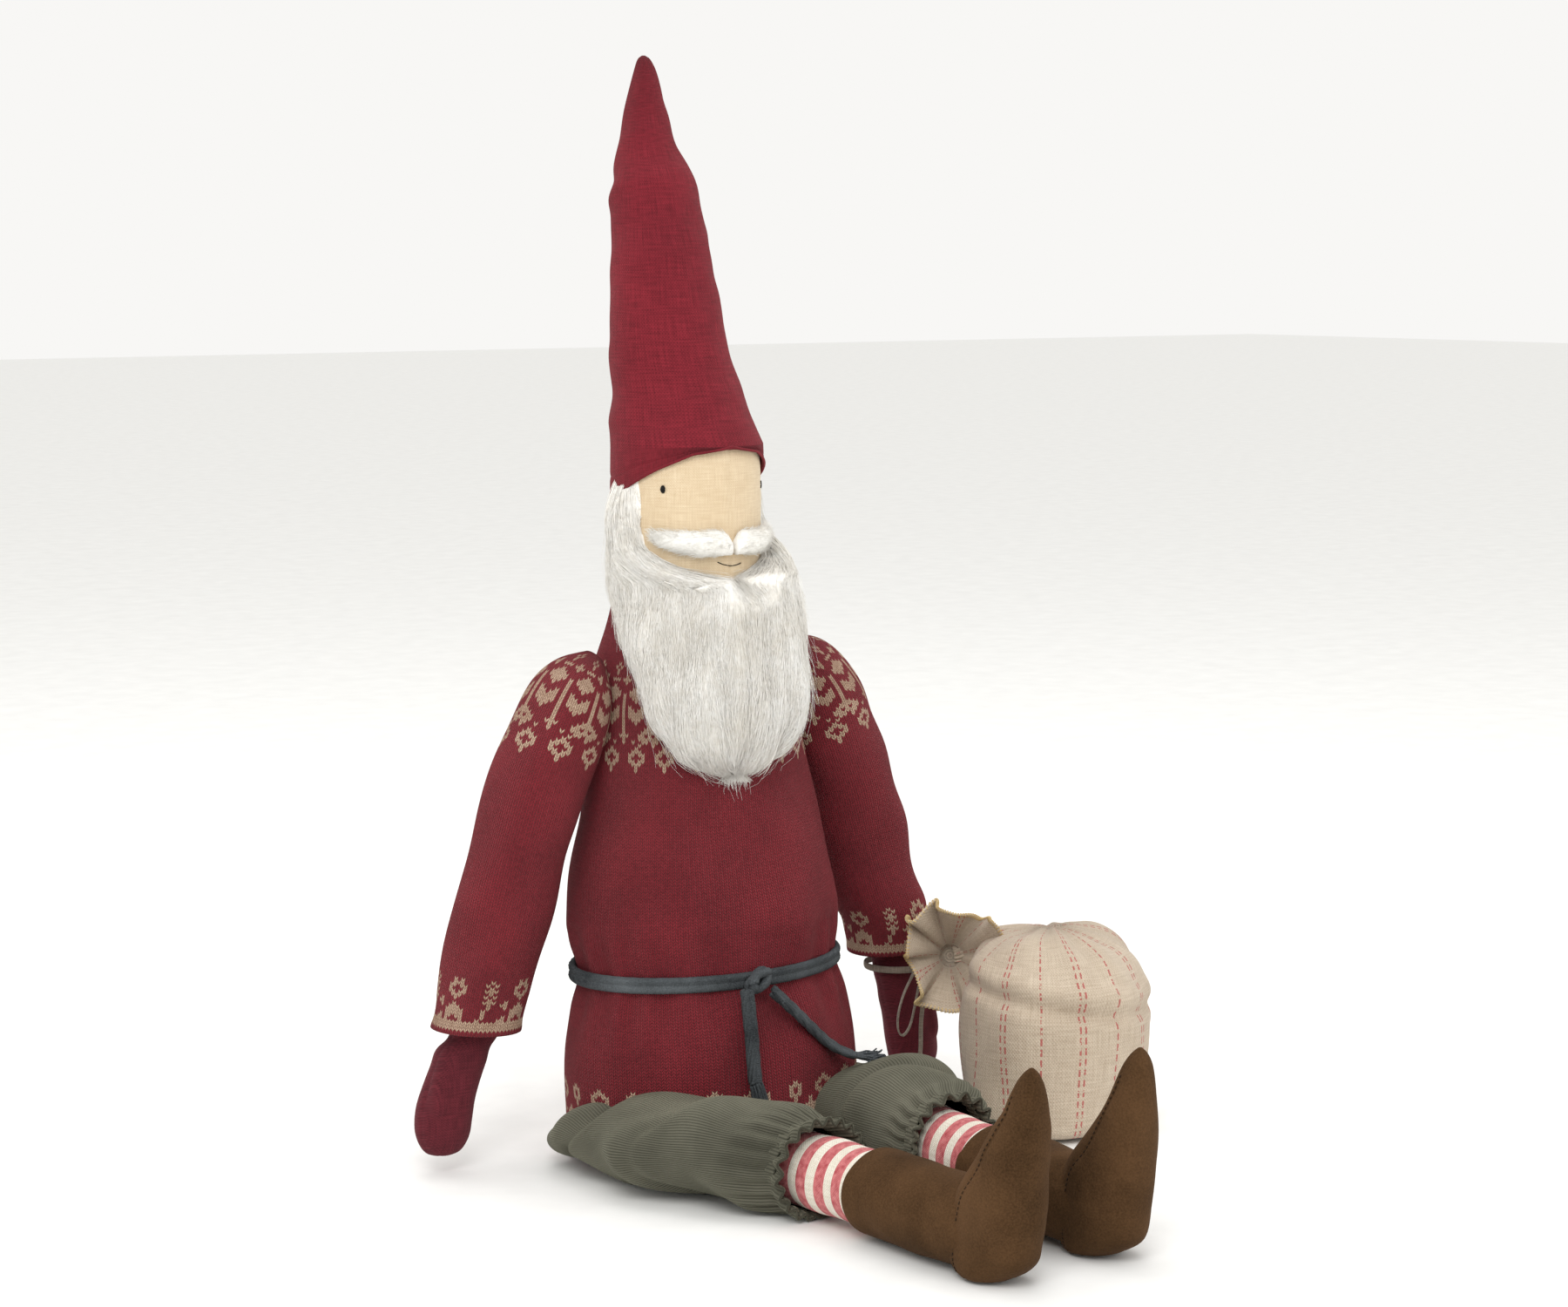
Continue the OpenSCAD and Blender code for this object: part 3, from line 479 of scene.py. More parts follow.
SUEDE = napped("brown_suede", "#32210f", "#563d26")
FELT = napped("white_wool_felt", "#dedbd3", "#fbfaf7", grain=500, depth=0.0006)
FLEECE = napped("combed_white_wool", "#e2ddd3", "#fdfcf9", grain=300, depth=0.0005)
FIBRE_FILL = napped("polyester_fibre_fill", "#dadada", "#f6f6f4", grain=200, depth=0.001)
BLACK_THREAD = napped("black_embroidery_thread", "#0b0a0a", "#262423", 0.7, 0.1)
CREAM_THREAD = napped("ochre_overlock_thread", "#b39560", "#dcc695", 0.85, 0.1)
SUEDE_STITCH = napped("brown_waxed_thread", "#22170d", "#3b2a1a", 0.7, 0.1)
SLATE_WOOL = napped("slate_wool_braid", "#26292b", "#5e6366", 0.9, 0.15, 1400, 0.0003)
FLOOR_WHITE = napped("studio_paper", "#f0f0ee", "#f6f6f4", 0.9, 0.0, 40, 0.0)
floor.data.materials.append(FLOOR_WHITE)
print("finishes:", len(bpy.data.materials))


# %% Give a piece its finish, its body and the CAD nodes that it stands for
def settle(obj, material, body, nodes=()):
    obj.data.materials.clear()
    obj.data.materials.append(material)
    if body:
        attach(obj, body)
    if nodes:
        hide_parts(*nodes)
    return obj


# %% [markdown]
# ## Cords: the braided belt, its tails, and the ribbon
# A flat braid is a few strands that cross in turn, five of them here. Real strands are laid along
# the cord's own path, so each strand swings from side to side and over and under its neighbours.
# The loose ends are loose yarn, which is many thin strands that start together and spread.

# %% Strands along a path
def tube(points, radius, around=6):
    """Ring points of a round tube along points; radius is one number or one for each point."""
    way = np.gradient(points, axis=0)
    way /= np.maximum(np.linalg.norm(way, axis=1, keepdims=True), 1e-12)
    up = np.array([0.31, 0.17, 0.94])
    side = np.cross(way, up)
    side = unit(side)
    out = np.cross(way, side)
    a = circle(around)
    r = np.broadcast_to(radius, len(points))[:, None, None]
    return points[:, None] + r * (side[:, None] * np.cos(a)[None, :, None]
                                  + out[:, None] * np.sin(a)[None, :, None])


def tubes_piece(name, lines, radius, around=5):
    """Many tubes as one piece; lines is a list of point arrays, radius a number or a list."""
    points, faces, start = [], [], 0
    for k, line in enumerate(lines):
        ring = tube(line, radius[k] if isinstance(radius, list) else radius, around)
        n = len(line)
        points.append(ring.reshape(-1, 3))
        f = grid_faces(n, around, True)
        faces += (f + start).tolist()
        faces.append([start + i for i in range(around)][::-1])
        faces.append([start + (n - 1) * around + i for i in range(around)])
        start += n * around
    return piece(name, np.vstack(points), faces)


def braid(name, route, strands=5, rounds_per_m=150, fill=0.98):
    """A flat braid: strands swing across the width and pass over and under one another."""
    length = length_of(np.array(route, float)[:, :3]) * MM
    count = max(24, int(length / 0.0007))
    mid, side, out, w, t = frame_along(route, count)
    s = np.linspace(0, length, count)
    lines = []
    for k in range(strands):
        phase = 2 * math.pi * (s * rounds_per_m + k / strands)
        swing = np.sin(phase)[:, None] * (w * 0.72 * fill)[:, None]
        lift = np.sin(2 * phase)[:, None] * (t * 0.62)[:, None]
        lines.append(mid + side * swing + out * lift)
    return tubes_piece(name, lines, [np.full(count, w.mean() * 0.29) for _ in lines], 6)


def loose_yarn(name, route, strands, radius, seed, curl=0.0012):
    """A fringe: thin strands that fill the widening tassel and wander as they go."""
    rng = np.random.default_rng(seed)
    lines = []
    count = 16
    mid, side, out, w, t = frame_along(route, count)
    for _ in range(strands):
        a, r = rng.uniform(0, 6.28), math.sqrt(rng.uniform(0, 1)) * 0.86
        s = np.linspace(0, 1, count)[:, None]
        stray = rng.normal(size=3) * curl
        wander = np.sin(s * rng.uniform(3, 9) + rng.uniform(0, 6)) * stray
        line = mid + side * (math.cos(a) * r * w)[:, None] + out * (math.sin(a) * r * t)[:, None] + wander * s
        lines.append(line[:int(count * rng.uniform(0.86, 1.0))])
    return tubes_piece(name, lines, radius, 4)


# %% Belt tails with their ends
TAIL_FRONT = [[-19, -70, 106], [-20, -73, 100], [-21, -76, 90], [-21, -78, 80], [-21, -79, 70],
              [-20, -79, 60], [-19, -79, 52]]
TASSEL_FRONT = [[-19, -79, 51.5, 0, 10, 5], [-17, -79, 44, 0, 12, 7], [-14, -79, 28, 0, 15, 8]]
TAIL_SIDE = [[-1, -72, 104], [6, -74, 97], [16, -74, 88], [28, -73, 77], [40, -71, 67], [51, -70, 60],
             [60, -71, 56]]
SIDE_BEARINGS = [20, 30, 38, 42, 45, 50, 60]
FRINGE_SIDE = [[60.5, -71, 55.8, 60, 10, 3.5], [68, -72, 54, 60, 13, 4], [80, -74, 53, 60, 16, 4]]


def route_length(route):
    return length_of(smooth(np.array(route, float)[:, :3], 120)) * MM


def flat_cord(route, bearings, width, thick):
    return [[*p, b, width, thick] for p, b in zip(route, bearings)]


tail_front = joined("belt_tail_front_braid", [
    braid("front_braid", flat_cord(TAIL_FRONT, [0] * 7, 10, 3.4)),
    loose_yarn("front_tassel", TASSEL_FRONT, 90, 0.00055, 3)])
settle(tail_front, SLATE_WOOL, "torso", ["belt_tail_front", "belt_tassel_front"])
tail_side = braid("belt_tail_side_braid", flat_cord(TAIL_SIDE, SIDE_BEARINGS, 10, 3.4))
settle(tail_side, SLATE_WOOL, "torso", ["belt_tail_side"])
fringe_side = loose_yarn("belt_fringe_yarn", FRINGE_SIDE, 80, 0.0005, 5, 0.0018)
settle(fringe_side, SLATE_WOOL, "torso", ["belt_fringe_side"])

# %% Ribbon bow at the sack
BOW = [[154, -13, 86], [148, -16, 82], [141, -17, 72], [137, -17, 60], [137, -17, 50], [140, -18, 46],
       [144, -20, 52], [147, -21, 64], [151, -20, 77]]
RIBBON_TAIL = [[156, -18, 80], [153, -22, 68], [150, -24, 54], [149, -25, 40], [148, -25, 28]]
RIBBON_LINK = [[157.5, -12.2, 86], [160, -14, 87.5], [163, -18.5, 91]]


def strap_piece(name, route, width, thick, bearing, count=40):
    p = along(flat_cord(route, [bearing] * len(route), width, thick), count, 8, 3.5)
    return grid_piece(name, p, caps=(True, True), scale=(0.0014, 0.0016))


bow = strap_piece("ribbon_bow", BOW, 4.5, 1.2, 60)
settle(bow, RIBBON_TWILL, "sack", ["ribbon_bow_loop"])
ribbon_end = strap_piece("ribbon_loose_end", RIBBON_TAIL, 4.5, 1.2, 20)
settle(ribbon_end, RIBBON_TWILL, "sack", ["ribbon_tail"])
link = strap_piece("ribbon_link_strap", RIBBON_LINK, 4.5, 2, 0, 12)
settle(link, RIBBON_TWILL, "sack", ["ribbon_link"])
print("ribbon loop and end:", round(route_length(BOW), 3), round(route_length(RIBBON_TAIL), 3), "m")


# %% [markdown]
# ## The knitted sweater
# Stockinette is columns of V stitches. Each leg of a V is one slanting face here, so a coloured
# stitch keeps its V outline where two yarns meet. The two-colour bands are charts, one letter a
# stitch, read round the body as a knitter reads them.

# %% Charts, a stitch a letter and a row a line, top row first; # is the light yarn
HEM_CHART = """
...#.......#....
..###.....###...
.##.##....#.#...
.#...#....#.#...
.##.##....###...
..###......#....
...#.......#...#
...............#
#......#...#..##
##....###..#.###
##.#.#####.#.###
##....###.###..#
#......#...#....
...........#...#
...#......##....
..###......##..#
..###......#..##
.#####.....#.###
.##.##.#...#.##.
.#...#.....#.#..
################
################
................
"""
CUFF_CHART = """
..#.#......#....
..###.....#.#...
.##.##.....#....
.#...#....###...
.##.##.....#....
..###.....#.#...
...#.......#....
..........###..#
...#.......#..##
..###......#...#
.#####....#.....
.#####....#.....
.##.##....#....#
.#...#...#....##
################
################
################
................
"""
YOKE_CHART = """
................
...#.......#....
..#.#.....#.#...
...#.......#....
...#.......#....
.......#.......#
..###.###.###.##
.......#.......#
...#.......#....
..###.....###...
.#####...#####..
.#####.#.#####.#
..###..#..###..#
...#...#...#...#
.......#.......#
.#...#.#.#...#.#
.##.##.#.##.##.#
.#####.#.#####.#
.#####.#.#####.#
..###..#..###..#
...#...#...#...#
.......#.......#
#......#......##
##.....#.....###
.##...###...##.#
###....#....####
##..#..#..#..##.
#...........#...
...#.......#....
..###.....###...
.##.##...##.##..
.#...#...#...#..
.##.##...##.##..
..###.....###...
...#.......#....
...#.......#....
"""


def chart(text):
    """Rows from the bottom up, 1 where the light yarn shows."""
    return np.array([[c == "#" for c in row] for row in text.split()][::-1], float)


def place_chart(yarn, text, low_row):
    """Repeats a chart round every stitch column from a row upwards."""
    c = chart(text)
    rows, wales = yarn.shape
    for k in range(len(c)):
        if 0 <= low_row + k < rows:
            yarn[low_row + k] = c[k, np.arange(wales) % c.shape[1]]


def knit_grid(p, dip=0.85):
    """A stitch grid from surface rows: odd columns, the foot of each V, sit most of a row lower."""
    rows = p.shape[0]
    low = np.arange(rows) - dip
    under = np.clip(np.floor(low).astype(int), 0, rows - 1)
    share = np.clip(low - under, 0, 1)[:, None, None]
    over = np.minimum(under + 1, rows - 1)
    dipped = p[under] * (1 - share) + p[over] * share
    out = p.copy()
    out[:, 1::2] = dipped[:, 1::2]
    return out


def knit_piece(name, p, yarn, wall=0.0022):
    """The knitted piece: yarn has one value a stitch, each two faces wide."""
    return grid_piece(name, knit_grid(p), yarn=np.repeat(yarn, 2, axis=1)[:-1].ravel(), wall=wall)


# %% Sweater body with its folds, the belt's pinch and the rolled hem
SWEATER_RINGS = [[14, 0, -8, 93.6, 67.6], [5, 0, -8.5, 93.8, 67.8], [3.2, 0, -8.5, 95.2, 69.2],
                 [5, 0, -8.5, 97, 71], [30, 0, -6.5, 97, 71], [65, 0, -3.6, 96, 70.5], [88, 0, -1.5, 92, 65],
                 [103, 0, -0.5, 87.5, 59.5], [110, 0, 0, 86.5, 58.5], [117, 0, 0.5, 87.5, 59.5],
                 [132, 0, 1.8, 91, 62], [150, 0, 3.2, 91, 63], [208, 0, 7.9, 79, 54],
                 [245, 0, 10.8, 72.5, 51],
                 [275, 0, 13.3, 70, 49], [300, 0, 15.3, 61, 46], [318, 0, 16.7, 52, 47],
                 [332, 0, 18, 46.6, 46.4], [343, 0, 18, 45.6, 45.6]]
WALES, COURSES = 176, 196


def body_surface():
    p = rings_up(SWEATER_RINGS, COURSES, WALES * 2)
    z = p[..., 2] / MM
    above = np.exp(-((z - 126) / 16) ** 2)
    below = np.exp(-((z - 92) / 18) ** 2)
    turn = circle(WALES * 2)[None, :]
    gathers = np.sin(turn * 17 + 2.2 * np.sin(turn * 3)) * (above + below) * 1.5
    soft = waves(p, 0.07, 11) * 2.0 * np.clip((z - 8) / 30, 0, 1) * np.clip((330 - z) / 60, 0, 1)
    roll = np.exp(-((z - 3) / 5) ** 2) * 1.6
    rim = np.exp(-((z - 342) / 3) ** 2) * 1.2
    return p + normals(p) * (gathers + soft + roll + rim)[..., None] * MM


yarn = np.zeros((COURSES, WALES))
place_chart(yarn, HEM_CHART, 9)
place_chart(yarn, YOKE_CHART, 135)
sweater = knit_piece("sweater_knit", body_surface(), yarn, 0)
settle(sweater, WINE_KNIT, "torso", ["sweater_body", "torso_cloth", "torso_stuffing"])
print("sweater stitches:", WALES * COURSES)


# %% [markdown]
# ## Sleeves
# Each sleeve is its own knitted tube. Its top is rounded about the shoulder's joint line, so that
# it keeps touching the yoke while the arm swings.

# %% Sleeve tubes from the cuff to the shoulder
def mirrored(p, side):
    """Points kept as made, or mirrored across the doll where side is below 0, faces still outward."""
    if side > 0:
        return p
    q = p[:, ::-1].copy()
    q[..., 0] *= -1
    return q


def sleeve_rows(back, cuff):
    return [[150, 14 + back, cuff, 26, 25], [147, 13.5 + back, cuff + 13, 26.8, 26],
            [144, 13 + back, cuff + 26, 28, 27], [136, 14 + back / 2, 147, 29.3, 28.3],
            [119, 14, 209, 30, 29], [104, 13.3, 246, 29.5, 29], [92, 13.3, 272, 26.5, 28.6],
            [81, 13.3, 289, 20, 22], [73, 13.3, 299, 9, 12], [70, 13.3, 301, 3, 4]]


def sleeve_surface(side, back, cuff, seed):
    wales, courses = 64, 128
    r = smooth(sleeve_rows(back, cuff), courses)
    mid = r[:, :3] * MM
    way = np.gradient(mid, axis=0)
    way = unit(way)
    tilt = np.linspace(0.25, 1.0, courses)[:, None]
    way = way * tilt + np.array([0, 0, 1.0]) * (1 - tilt)
    way = unit(way)
    out = np.cross([0, 1.0, 0], way)
    out = unit(out)
    deep = np.cross(way, out)
    a = math.pi / 2 + circle(wales * 2)
    p = (mid[:, None] + out[:, None] * np.cos(a)[None, :, None] * r[:, 3, None, None] * MM
         + deep[:, None] * np.sin(a)[None, :, None] * r[:, 4, None, None] * MM)
    s = np.linspace(0, 1, courses)[:, None]
    elbow = np.exp(-((s - 0.42) / 0.16) ** 2)
    folds = np.sin(a * 2 + s * 16 + seed) * elbow * 1.3 + waves(p, 0.05, seed) * 1.5 * np.clip(s * 8, 0, 1)
    roll = np.exp(-(s / 0.02) ** 2) * 1.4
    p = p + normals(p) * ((folds * np.clip((1 - s) * 4, 0, 1) + roll)[..., None]) * MM
    p[..., 0] = np.maximum(p[..., 0], 0.0645)
    return mirrored(p, side)


def sleeve(name, side, back, cuff, seed, yoke_row):
    wales, courses = 64, 128
    yarn = np.zeros((courses, wales))
    place_chart(yarn, CUFF_CHART, 1)
    place_chart(yarn, YOKE_CHART, yoke_row)
    word = "left" if side > 0 else "right"
    obj = knit_piece(name, sleeve_surface(side, back, cuff, seed), yarn)
    return settle(obj, WINE_KNIT, "arm_" + word, ["sleeve_" + word])


# For each arm: its side, how far back its wrist is and how high its cuff is, in mm.
ARMS = ((-1, 10, 84), (1, -4, 98))
sleeve("sleeve_knit_right", *ARMS[0], 21, 90)
sleeve("sleeve_knit_left", *ARMS[1], 34, 88)


# %% Stuffed arms inside the sleeves
def inner_arm(side, back, wrist):
    rows = [[wrist + 8, 149, 14 + back, 15.5, 14.5], [147, 136, 14 + back / 2, 22, 21],
            [209, 119, 14, 25, 24],
            [246, 104, 13.3, 24, 24], [275, 90, 13.3, 19, 22], [290, 84, 13.3, 12, 12]]
    word = "left" if side > 0 else "right"
    p = mirrored(rings_up(rows, 40, 32), side)
    p = pushed(p, waves(p, 0.05, 5) * 0.6)
    obj = grid_piece("stuffed_arm_" + word, p, caps=(True, True), scale=(0.0045, 0.005))
    return settle(obj, FACE_COTTON, "arm_" + word,
                  ["arm_cloth_" + word, "arm_stuffing_" + word])


for arm in ARMS:
    inner_arm(*arm)


# %% [markdown]
# ## Mittens
# A mitten is two cloth halves sewn round the edge, with a thumb. The hand and thumb are joined by a
# voxel remesh, smoothed, and then given the seam that runs round the outside of the hand.

# %% Mittens with thumbs turned outward
def remeshed(obj, voxel, rounds=6):
    grown = obj.modifiers.new("voxels", "REMESH")
    grown.mode = "VOXEL"
    grown.voxel_size = voxel
    ease = obj.modifiers.new("ease", "SMOOTH")
    ease.factor = 0.5
    ease.iterations = rounds
    applied(obj)
    obj.data.shade_smooth()
    return obj


def points_of(obj):
    co = np.zeros(len(obj.data.vertices) * 3)
    obj.data.vertices.foreach_get("co", co)
    return co.reshape(-1, 3)


def set_points(obj, p):
    obj.data.vertices.foreach_set("co", p.ravel())
    obj.data.update()


def normals_of(obj):
    n = np.zeros(len(obj.data.vertices) * 3)
    obj.data.vertex_normals.foreach_get("vector", n)
    return n.reshape(-1, 3)


def flat_uv(obj, x_axis, y_axis):
    """UVs in metres by looking along the third direction, for cloth cut flat."""
    layer = obj.data.uv_layers.get("cloth") or obj.data.uv_layers.new(name="cloth")
    co = points_of(obj)
    index = np.zeros(len(obj.data.loops), int)
    obj.data.loops.foreach_get("vertex_index", index)
    layer.data.foreach_set("uv", (co @ np.array([x_axis, y_axis], float).T)[index].astype(np.float32).ravel())


def mitten(side, back, wrist):
    word = "left" if side > 0 else "right"
    hand = [[9.5, 172, 17 + back, 6, 5], [12, 172, 17 + back, 12, 9.5], [20, 172, 17 + back, 16.5, 13],
            [30, 171.5, 17 + back, 17.8, 14.5], [48, 168, 16 + back, 17.6, 15],
            [70, 160, 14 + back, 16.8, 14.5],
            [wrist - 4, 153, 13 + back, 15.3, 14.5], [wrist + 15, 148, 14 + back, 15.5, 14.5]]
    thumb = [[168, 11 + back, 70, 90, 15, 15], [174, 10 + back, 58, 90, 17, 16],
             [178, 9 + back, 46, 90, 16, 15],
             [180, 8.6 + back, 37, 90, 11, 11], [180.5, 8.5 + back, 34, 90, 4, 4]]
    parts = [grid_piece("hand", mirrored(rings_up(hand, 40, 36), side), caps=(True, True)),
             grid_piece("thumb", mirrored(along(thumb, 20, 24)[:, ::-1], side), caps=(True, True))]
    obj = remeshed(joined("mitten_cloth_" + word, parts), 0.0016, 5)
    p = points_of(obj)
    soft = waves(p, 0.03, 8) * 0.45 * MM
    seam = np.exp(-(((p[:, 1] - (13 + back) * MM) / 0.0007) ** 2)) * 0.5 * MM
    creases = np.sin(p[:, 2] / 0.0042 + p[:, 0] * 90) * np.exp(-((p[:, 2] - 0.074) / 0.012) ** 2) * 0.7 * MM
    set_points(obj, p + normals_of(obj) * (soft - seam + creases)[:, None])
    flat_uv(obj, (1, 0.3, 0), (0, 0.2, 1))
    return settle(obj, MITTEN_COTTON, "arm_" + word, ["mitten_" + word])


for arm in ARMS:
    mitten(*arm)


# %% [markdown]
# ## Head, face and hat
# The head is a cotton ball with one seam down the middle of the face. Its eyes and smile are a few
# satin stitches. The tall linen hat stands by its own stuffing, and creases where it leans.

# %% Head with its middle seam
HEAD_RINGS = [[338, 0, 18, 30, 30], [341, 0, 18, 42, 42], [350, 0, 18, 44, 44], [380, 0, 18, 44.4, 44.4],
              [412, 0, 18, 44.3, 44.3], [428, 0, 18, 41.8, 41.8], [441, 0, 18, 36, 36], [458, 0, 18, 26, 26],
              [468, 0, 18, 16, 16], [473, 0, 18, 4, 4]]


def head_surface():
    p = rings_up(HEAD_RINGS, 90, 160)
    turn = circle(160)[None, :]
    seam = (np.exp(-((turn - math.pi) / 0.024) ** 2)
            + np.exp(-(np.minimum(turn, 2 * math.pi - turn) / 0.024) ** 2))
    puff = np.exp(-((turn - math.pi) / 0.09) ** 2) * 0.5
    dimples = sum(np.exp(-(((turn - math.pi - s * 0.94) / 0.09) ** 2 + ((p[..., 2] - 0.402) / 0.004) ** 2))
                  for s in (-1, 1))
    lift = waves(p, 0.06, 4) * 0.35 - seam * 0.9 + puff - dimples * 0.8
    return pushed(p, lift)


head = grid_piece("head_cotton", head_surface(), caps=(True, True), scale=(0.00175, 0.0019))
settle(head, FACE_COTTON, "head", ["head_cloth", "head_stuffing"])


HEAD_RADIUS, HEAD_MIDDLE = 44.4, 18


def on_head(bearing, z, out):
    a = math.radians(bearing)
    r = HEAD_RADIUS + out
    return [math.sin(a) * r, HEAD_MIDDLE - math.cos(a) * r, z]


def stitches(name, ends, radius, around=6):
    """Short raised threads between pairs of points in mm, bowed outward in the middle."""
    lines = []
    for a, b in ends:
        a, b = np.array(a, float), np.array(b, float)
        s = np.linspace(0, 1, 7)[:, None]
        out = (a + b) / 2 - np.array([0, 18, (a[2] + b[2]) / 2])
        out /= np.linalg.norm(out)
        lines.append((a + (b - a) * s + out * np.sin(s * math.pi) * radius * 900) * MM)
    return tubes_piece(name, lines, radius, around)


eye_ends = []
for bearing in (-54, 54):
    for k in range(7):
        at = (k - 3) / 3
        half = 2.3 * math.sqrt(max(0.08, 1 - at * at * 0.8))
        eye_ends.append((on_head(bearing + at * 1.5, 402 - half, 0.0),
                         on_head(bearing + at * 1.5, 402 + half, 0.0)))
settle(stitches("stitched_eyes", eye_ends, 0.00036), BLACK_THREAD, "head", ["eyes"])
smile = [(on_head(b, 355.6 + 2.2 * ((b - 2) / 12) ** 2, 0.1),
          on_head(b + 4.4, 355.6 + 2.2 * ((b + 2.4) / 12) ** 2, 0.1))
         for b in (-11, -6.6, -2.2, 2.2, 6.6)]
settle(stitches("stitched_smile", smile, 0.0003), BLACK_THREAD, "head", ["mouth_stitch"])

# %% Hat: a creased linen cone over a slanting folded brim
HAT_RINGS = [[427, 0, 19, 46.5, 46.5], [440, -1, 22.5, 43.4, 43.4], [457, -2, 26, 40.0, 40.0],
             [488, -6, 30.5, 36.0, 36.0], [530, -8, 33, 32, 32], [580, -9, 40, 26, 26],
             [605, -10, 45, 18.6, 18.6],
             [632, -10, 48, 12.1, 12.1], [650, -9, 49.5, 7.2, 7.2], [658, -9, 50.5, 4, 4],
             [660.5, -9, 51, 1, 1]]


def brim_drop(turn):
    """How far the edge sits below the brow, in mm, going round from the back."""
    bearing = np.abs(np.degrees(turn) - 180)
    return np.interp(bearing, [0, 30, 57, 90, 123, 150, 180], [0, 3.5, 13, 27, 35, 39, 40])


def hat_surface():
    rows, around = 150, 128
    turn = circle(around)[None, :]
    p = rings_up(HAT_RINGS, rows, around)
    skirt_rows = 26
    base = p[0]
    drop = brim_drop(turn[0])
    skirt = []
    for k in range(skirt_rows):
        s = 1 - k / skirt_rows
        ring = base.copy()
        centre = np.array([0, 0.019])
        flat = ring[:, :2] - centre
        ring[:, :2] = centre + flat * (1 + 0.012 * s)
        ring[:, 2] = 0.427 - drop * s * MM
        skirt.append(ring)
    p = np.concatenate([np.array(skirt), p])
    z = p[..., 2] / MM
    s = np.clip((z - 440) / 220, 0, 1)
    slant = z + 12 * np.sin(turn + 0.6) + 4 * np.sin(turn * 2 + 1)
    big = [(597, 7, -3.2), (586, 6, 2.0), (560, 8, -1.8), (541, 6, 1.4), (516, 9, -1.6), (494, 7, 1.5),
           (468, 8, -1.7), (452, 6, 1.2), (622, 5, -1.0), (640, 4, 0.7)]
    folds = sum(depth * np.exp(-((slant - at) / wide) ** 2) * (0.55 + 0.45 * np.cos(turn - 1.2 * k))
                for k, (at, wide, depth) in enumerate(big))
    soft = waves(p, 0.05, 19) * 1.1 + waves(p, 0.02, 20) * 0.35
    thin = np.clip((655 - z) / 40, 0.15, 1)
    edge = np.exp(-(np.arange(len(p)) / 1.2) ** 2)[:, None] * 0.9
    hem = -np.exp(-((np.arange(len(p)) - 11) / 1.0) ** 2)[:, None] * 0.5
    seam = -np.exp(-(np.minimum(turn, 2 * math.pi - turn) / 0.02) ** 2) * 0.8
    lift = (folds * 0.55 + soft * 0.8) * thin * np.clip((z - 425) / 14, 0, 1) + edge + hem + seam * thin
    return pushed(p, lift)


hat = grid_piece("hat_linen", hat_surface(), caps=(False, True), scale=(0.0021, 0.0017), wall=0.0014)
settle(hat, HAT_LINEN, "hat", ["hat_cloth"])

# %% Filling that shows in the hat's mouth when it is lifted
plug = grid_piece("hat_fibre_filling", rings_up(
    [[474.5, -4, 28, 8, 8], [475.5, -4, 28, 24, 24], [480, -5, 29.5, 31.5, 31.5], [500, -6.5, 31.5, 31, 31],
     [540, -8, 34, 27.5, 27.5], [590, -9.4, 42, 20.5, 20.5], [620, -10, 46, 10.5, 10.5],
     [628, -10, 47, 4, 4]],
    60, 48), caps=(True, True), scale=(0.004, 0.003))
settle(plug, FIBRE_FILL, "hat", ["hat_stuffing"])


# %% [markdown]
# ## Beard and moustache
# The beard is a lock of long combed wool, sewn under the chin and up both cheeks. A soft displaced
# core gives its weight, and thousands of fine fibres laid down its surface give the fleece. The
# moustache is two needle-felted halves, firmer than the beard, with a short nap.

# %% Beard core
BEARD_RINGS = [[234.5, -8, -41, 6, 4], [235.5, -8, -41, 17, 9], [238.5, -8, -40.5, 27, 14],
               [244, -7, -39, 36, 19],
               [254, -6, -35.5, 45, 25], [268, -5, -30, 51.5, 32], [290, -4, -22, 56, 41],
               [320, -2, -9, 56.5, 51], [350, 0, 4, 55, 57],
               [380, 0, 13, 53, 52], [400, 0, 17, 48.5, 48.3], [409, 0, 18, 45.6, 45.6]]


def bare_half_angle(z):
    """Half the bearing left bare for the face at a height, from the middle of the face."""
    return np.interp(z, [347, 349, 352, 356, 360, 365, 380, 409], [0, 18, 34, 48, 58, 68, 75, 78])


BEARD_ROOT_RADIUS = 44.6


def beard_surface():
    rows, around = 120, 150
    z = smooth(BEARD_RINGS, rows, 5)
    out = []
    for zz, cx, cy, rx, ry in z:
        bare = bare_half_angle(zz)
        back = np.interp(zz, [234, 260, 300, 340, 360, 409], [150, 140, 128, 118, 112, 104])
        side = np.linspace(0, 1, around // 2)
        left = bare + (back - bare) * side
        bearings = np.radians(np.r_[-left[::-1], left])
        apart = np.degrees(np.abs(bearings)) - bare
        free = np.clip(np.hypot(np.clip(apart, 0, None) / 20, max(347 - zz, 0) / 15), 0, 1)
        free = free * free * (3 - 2 * free)
        x = (cx + rx * np.sin(bearings)) * free + BEARD_ROOT_RADIUS * np.sin(bearings) * (1 - free)
        y = (cy - ry * np.cos(bearings)) * free + (18 - BEARD_ROOT_RADIUS * np.cos(bearings)) * (1 - free)
        out.append(np.stack([x, y, np.full(around, zz)], -1))
    return np.array(out) * MM


beard_front = beard_surface()
bearing_wave = waves(beard_front * np.array([1, 1, 0.22]), 0.014, 31)
lumps = waves(beard_front, 0.05, 32)
beard_outer = beard_front + normals(beard_front, False) * ((bearing_wave * 1.3 + lumps * 2.2) * MM)[..., None]
core = grid_piece("beard_core", beard_outer, wrap=False, scale=(0.002, 0.0015), wall=0.005)
settle(core, FLEECE, None, ["beard"])
applied(core)
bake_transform(core)


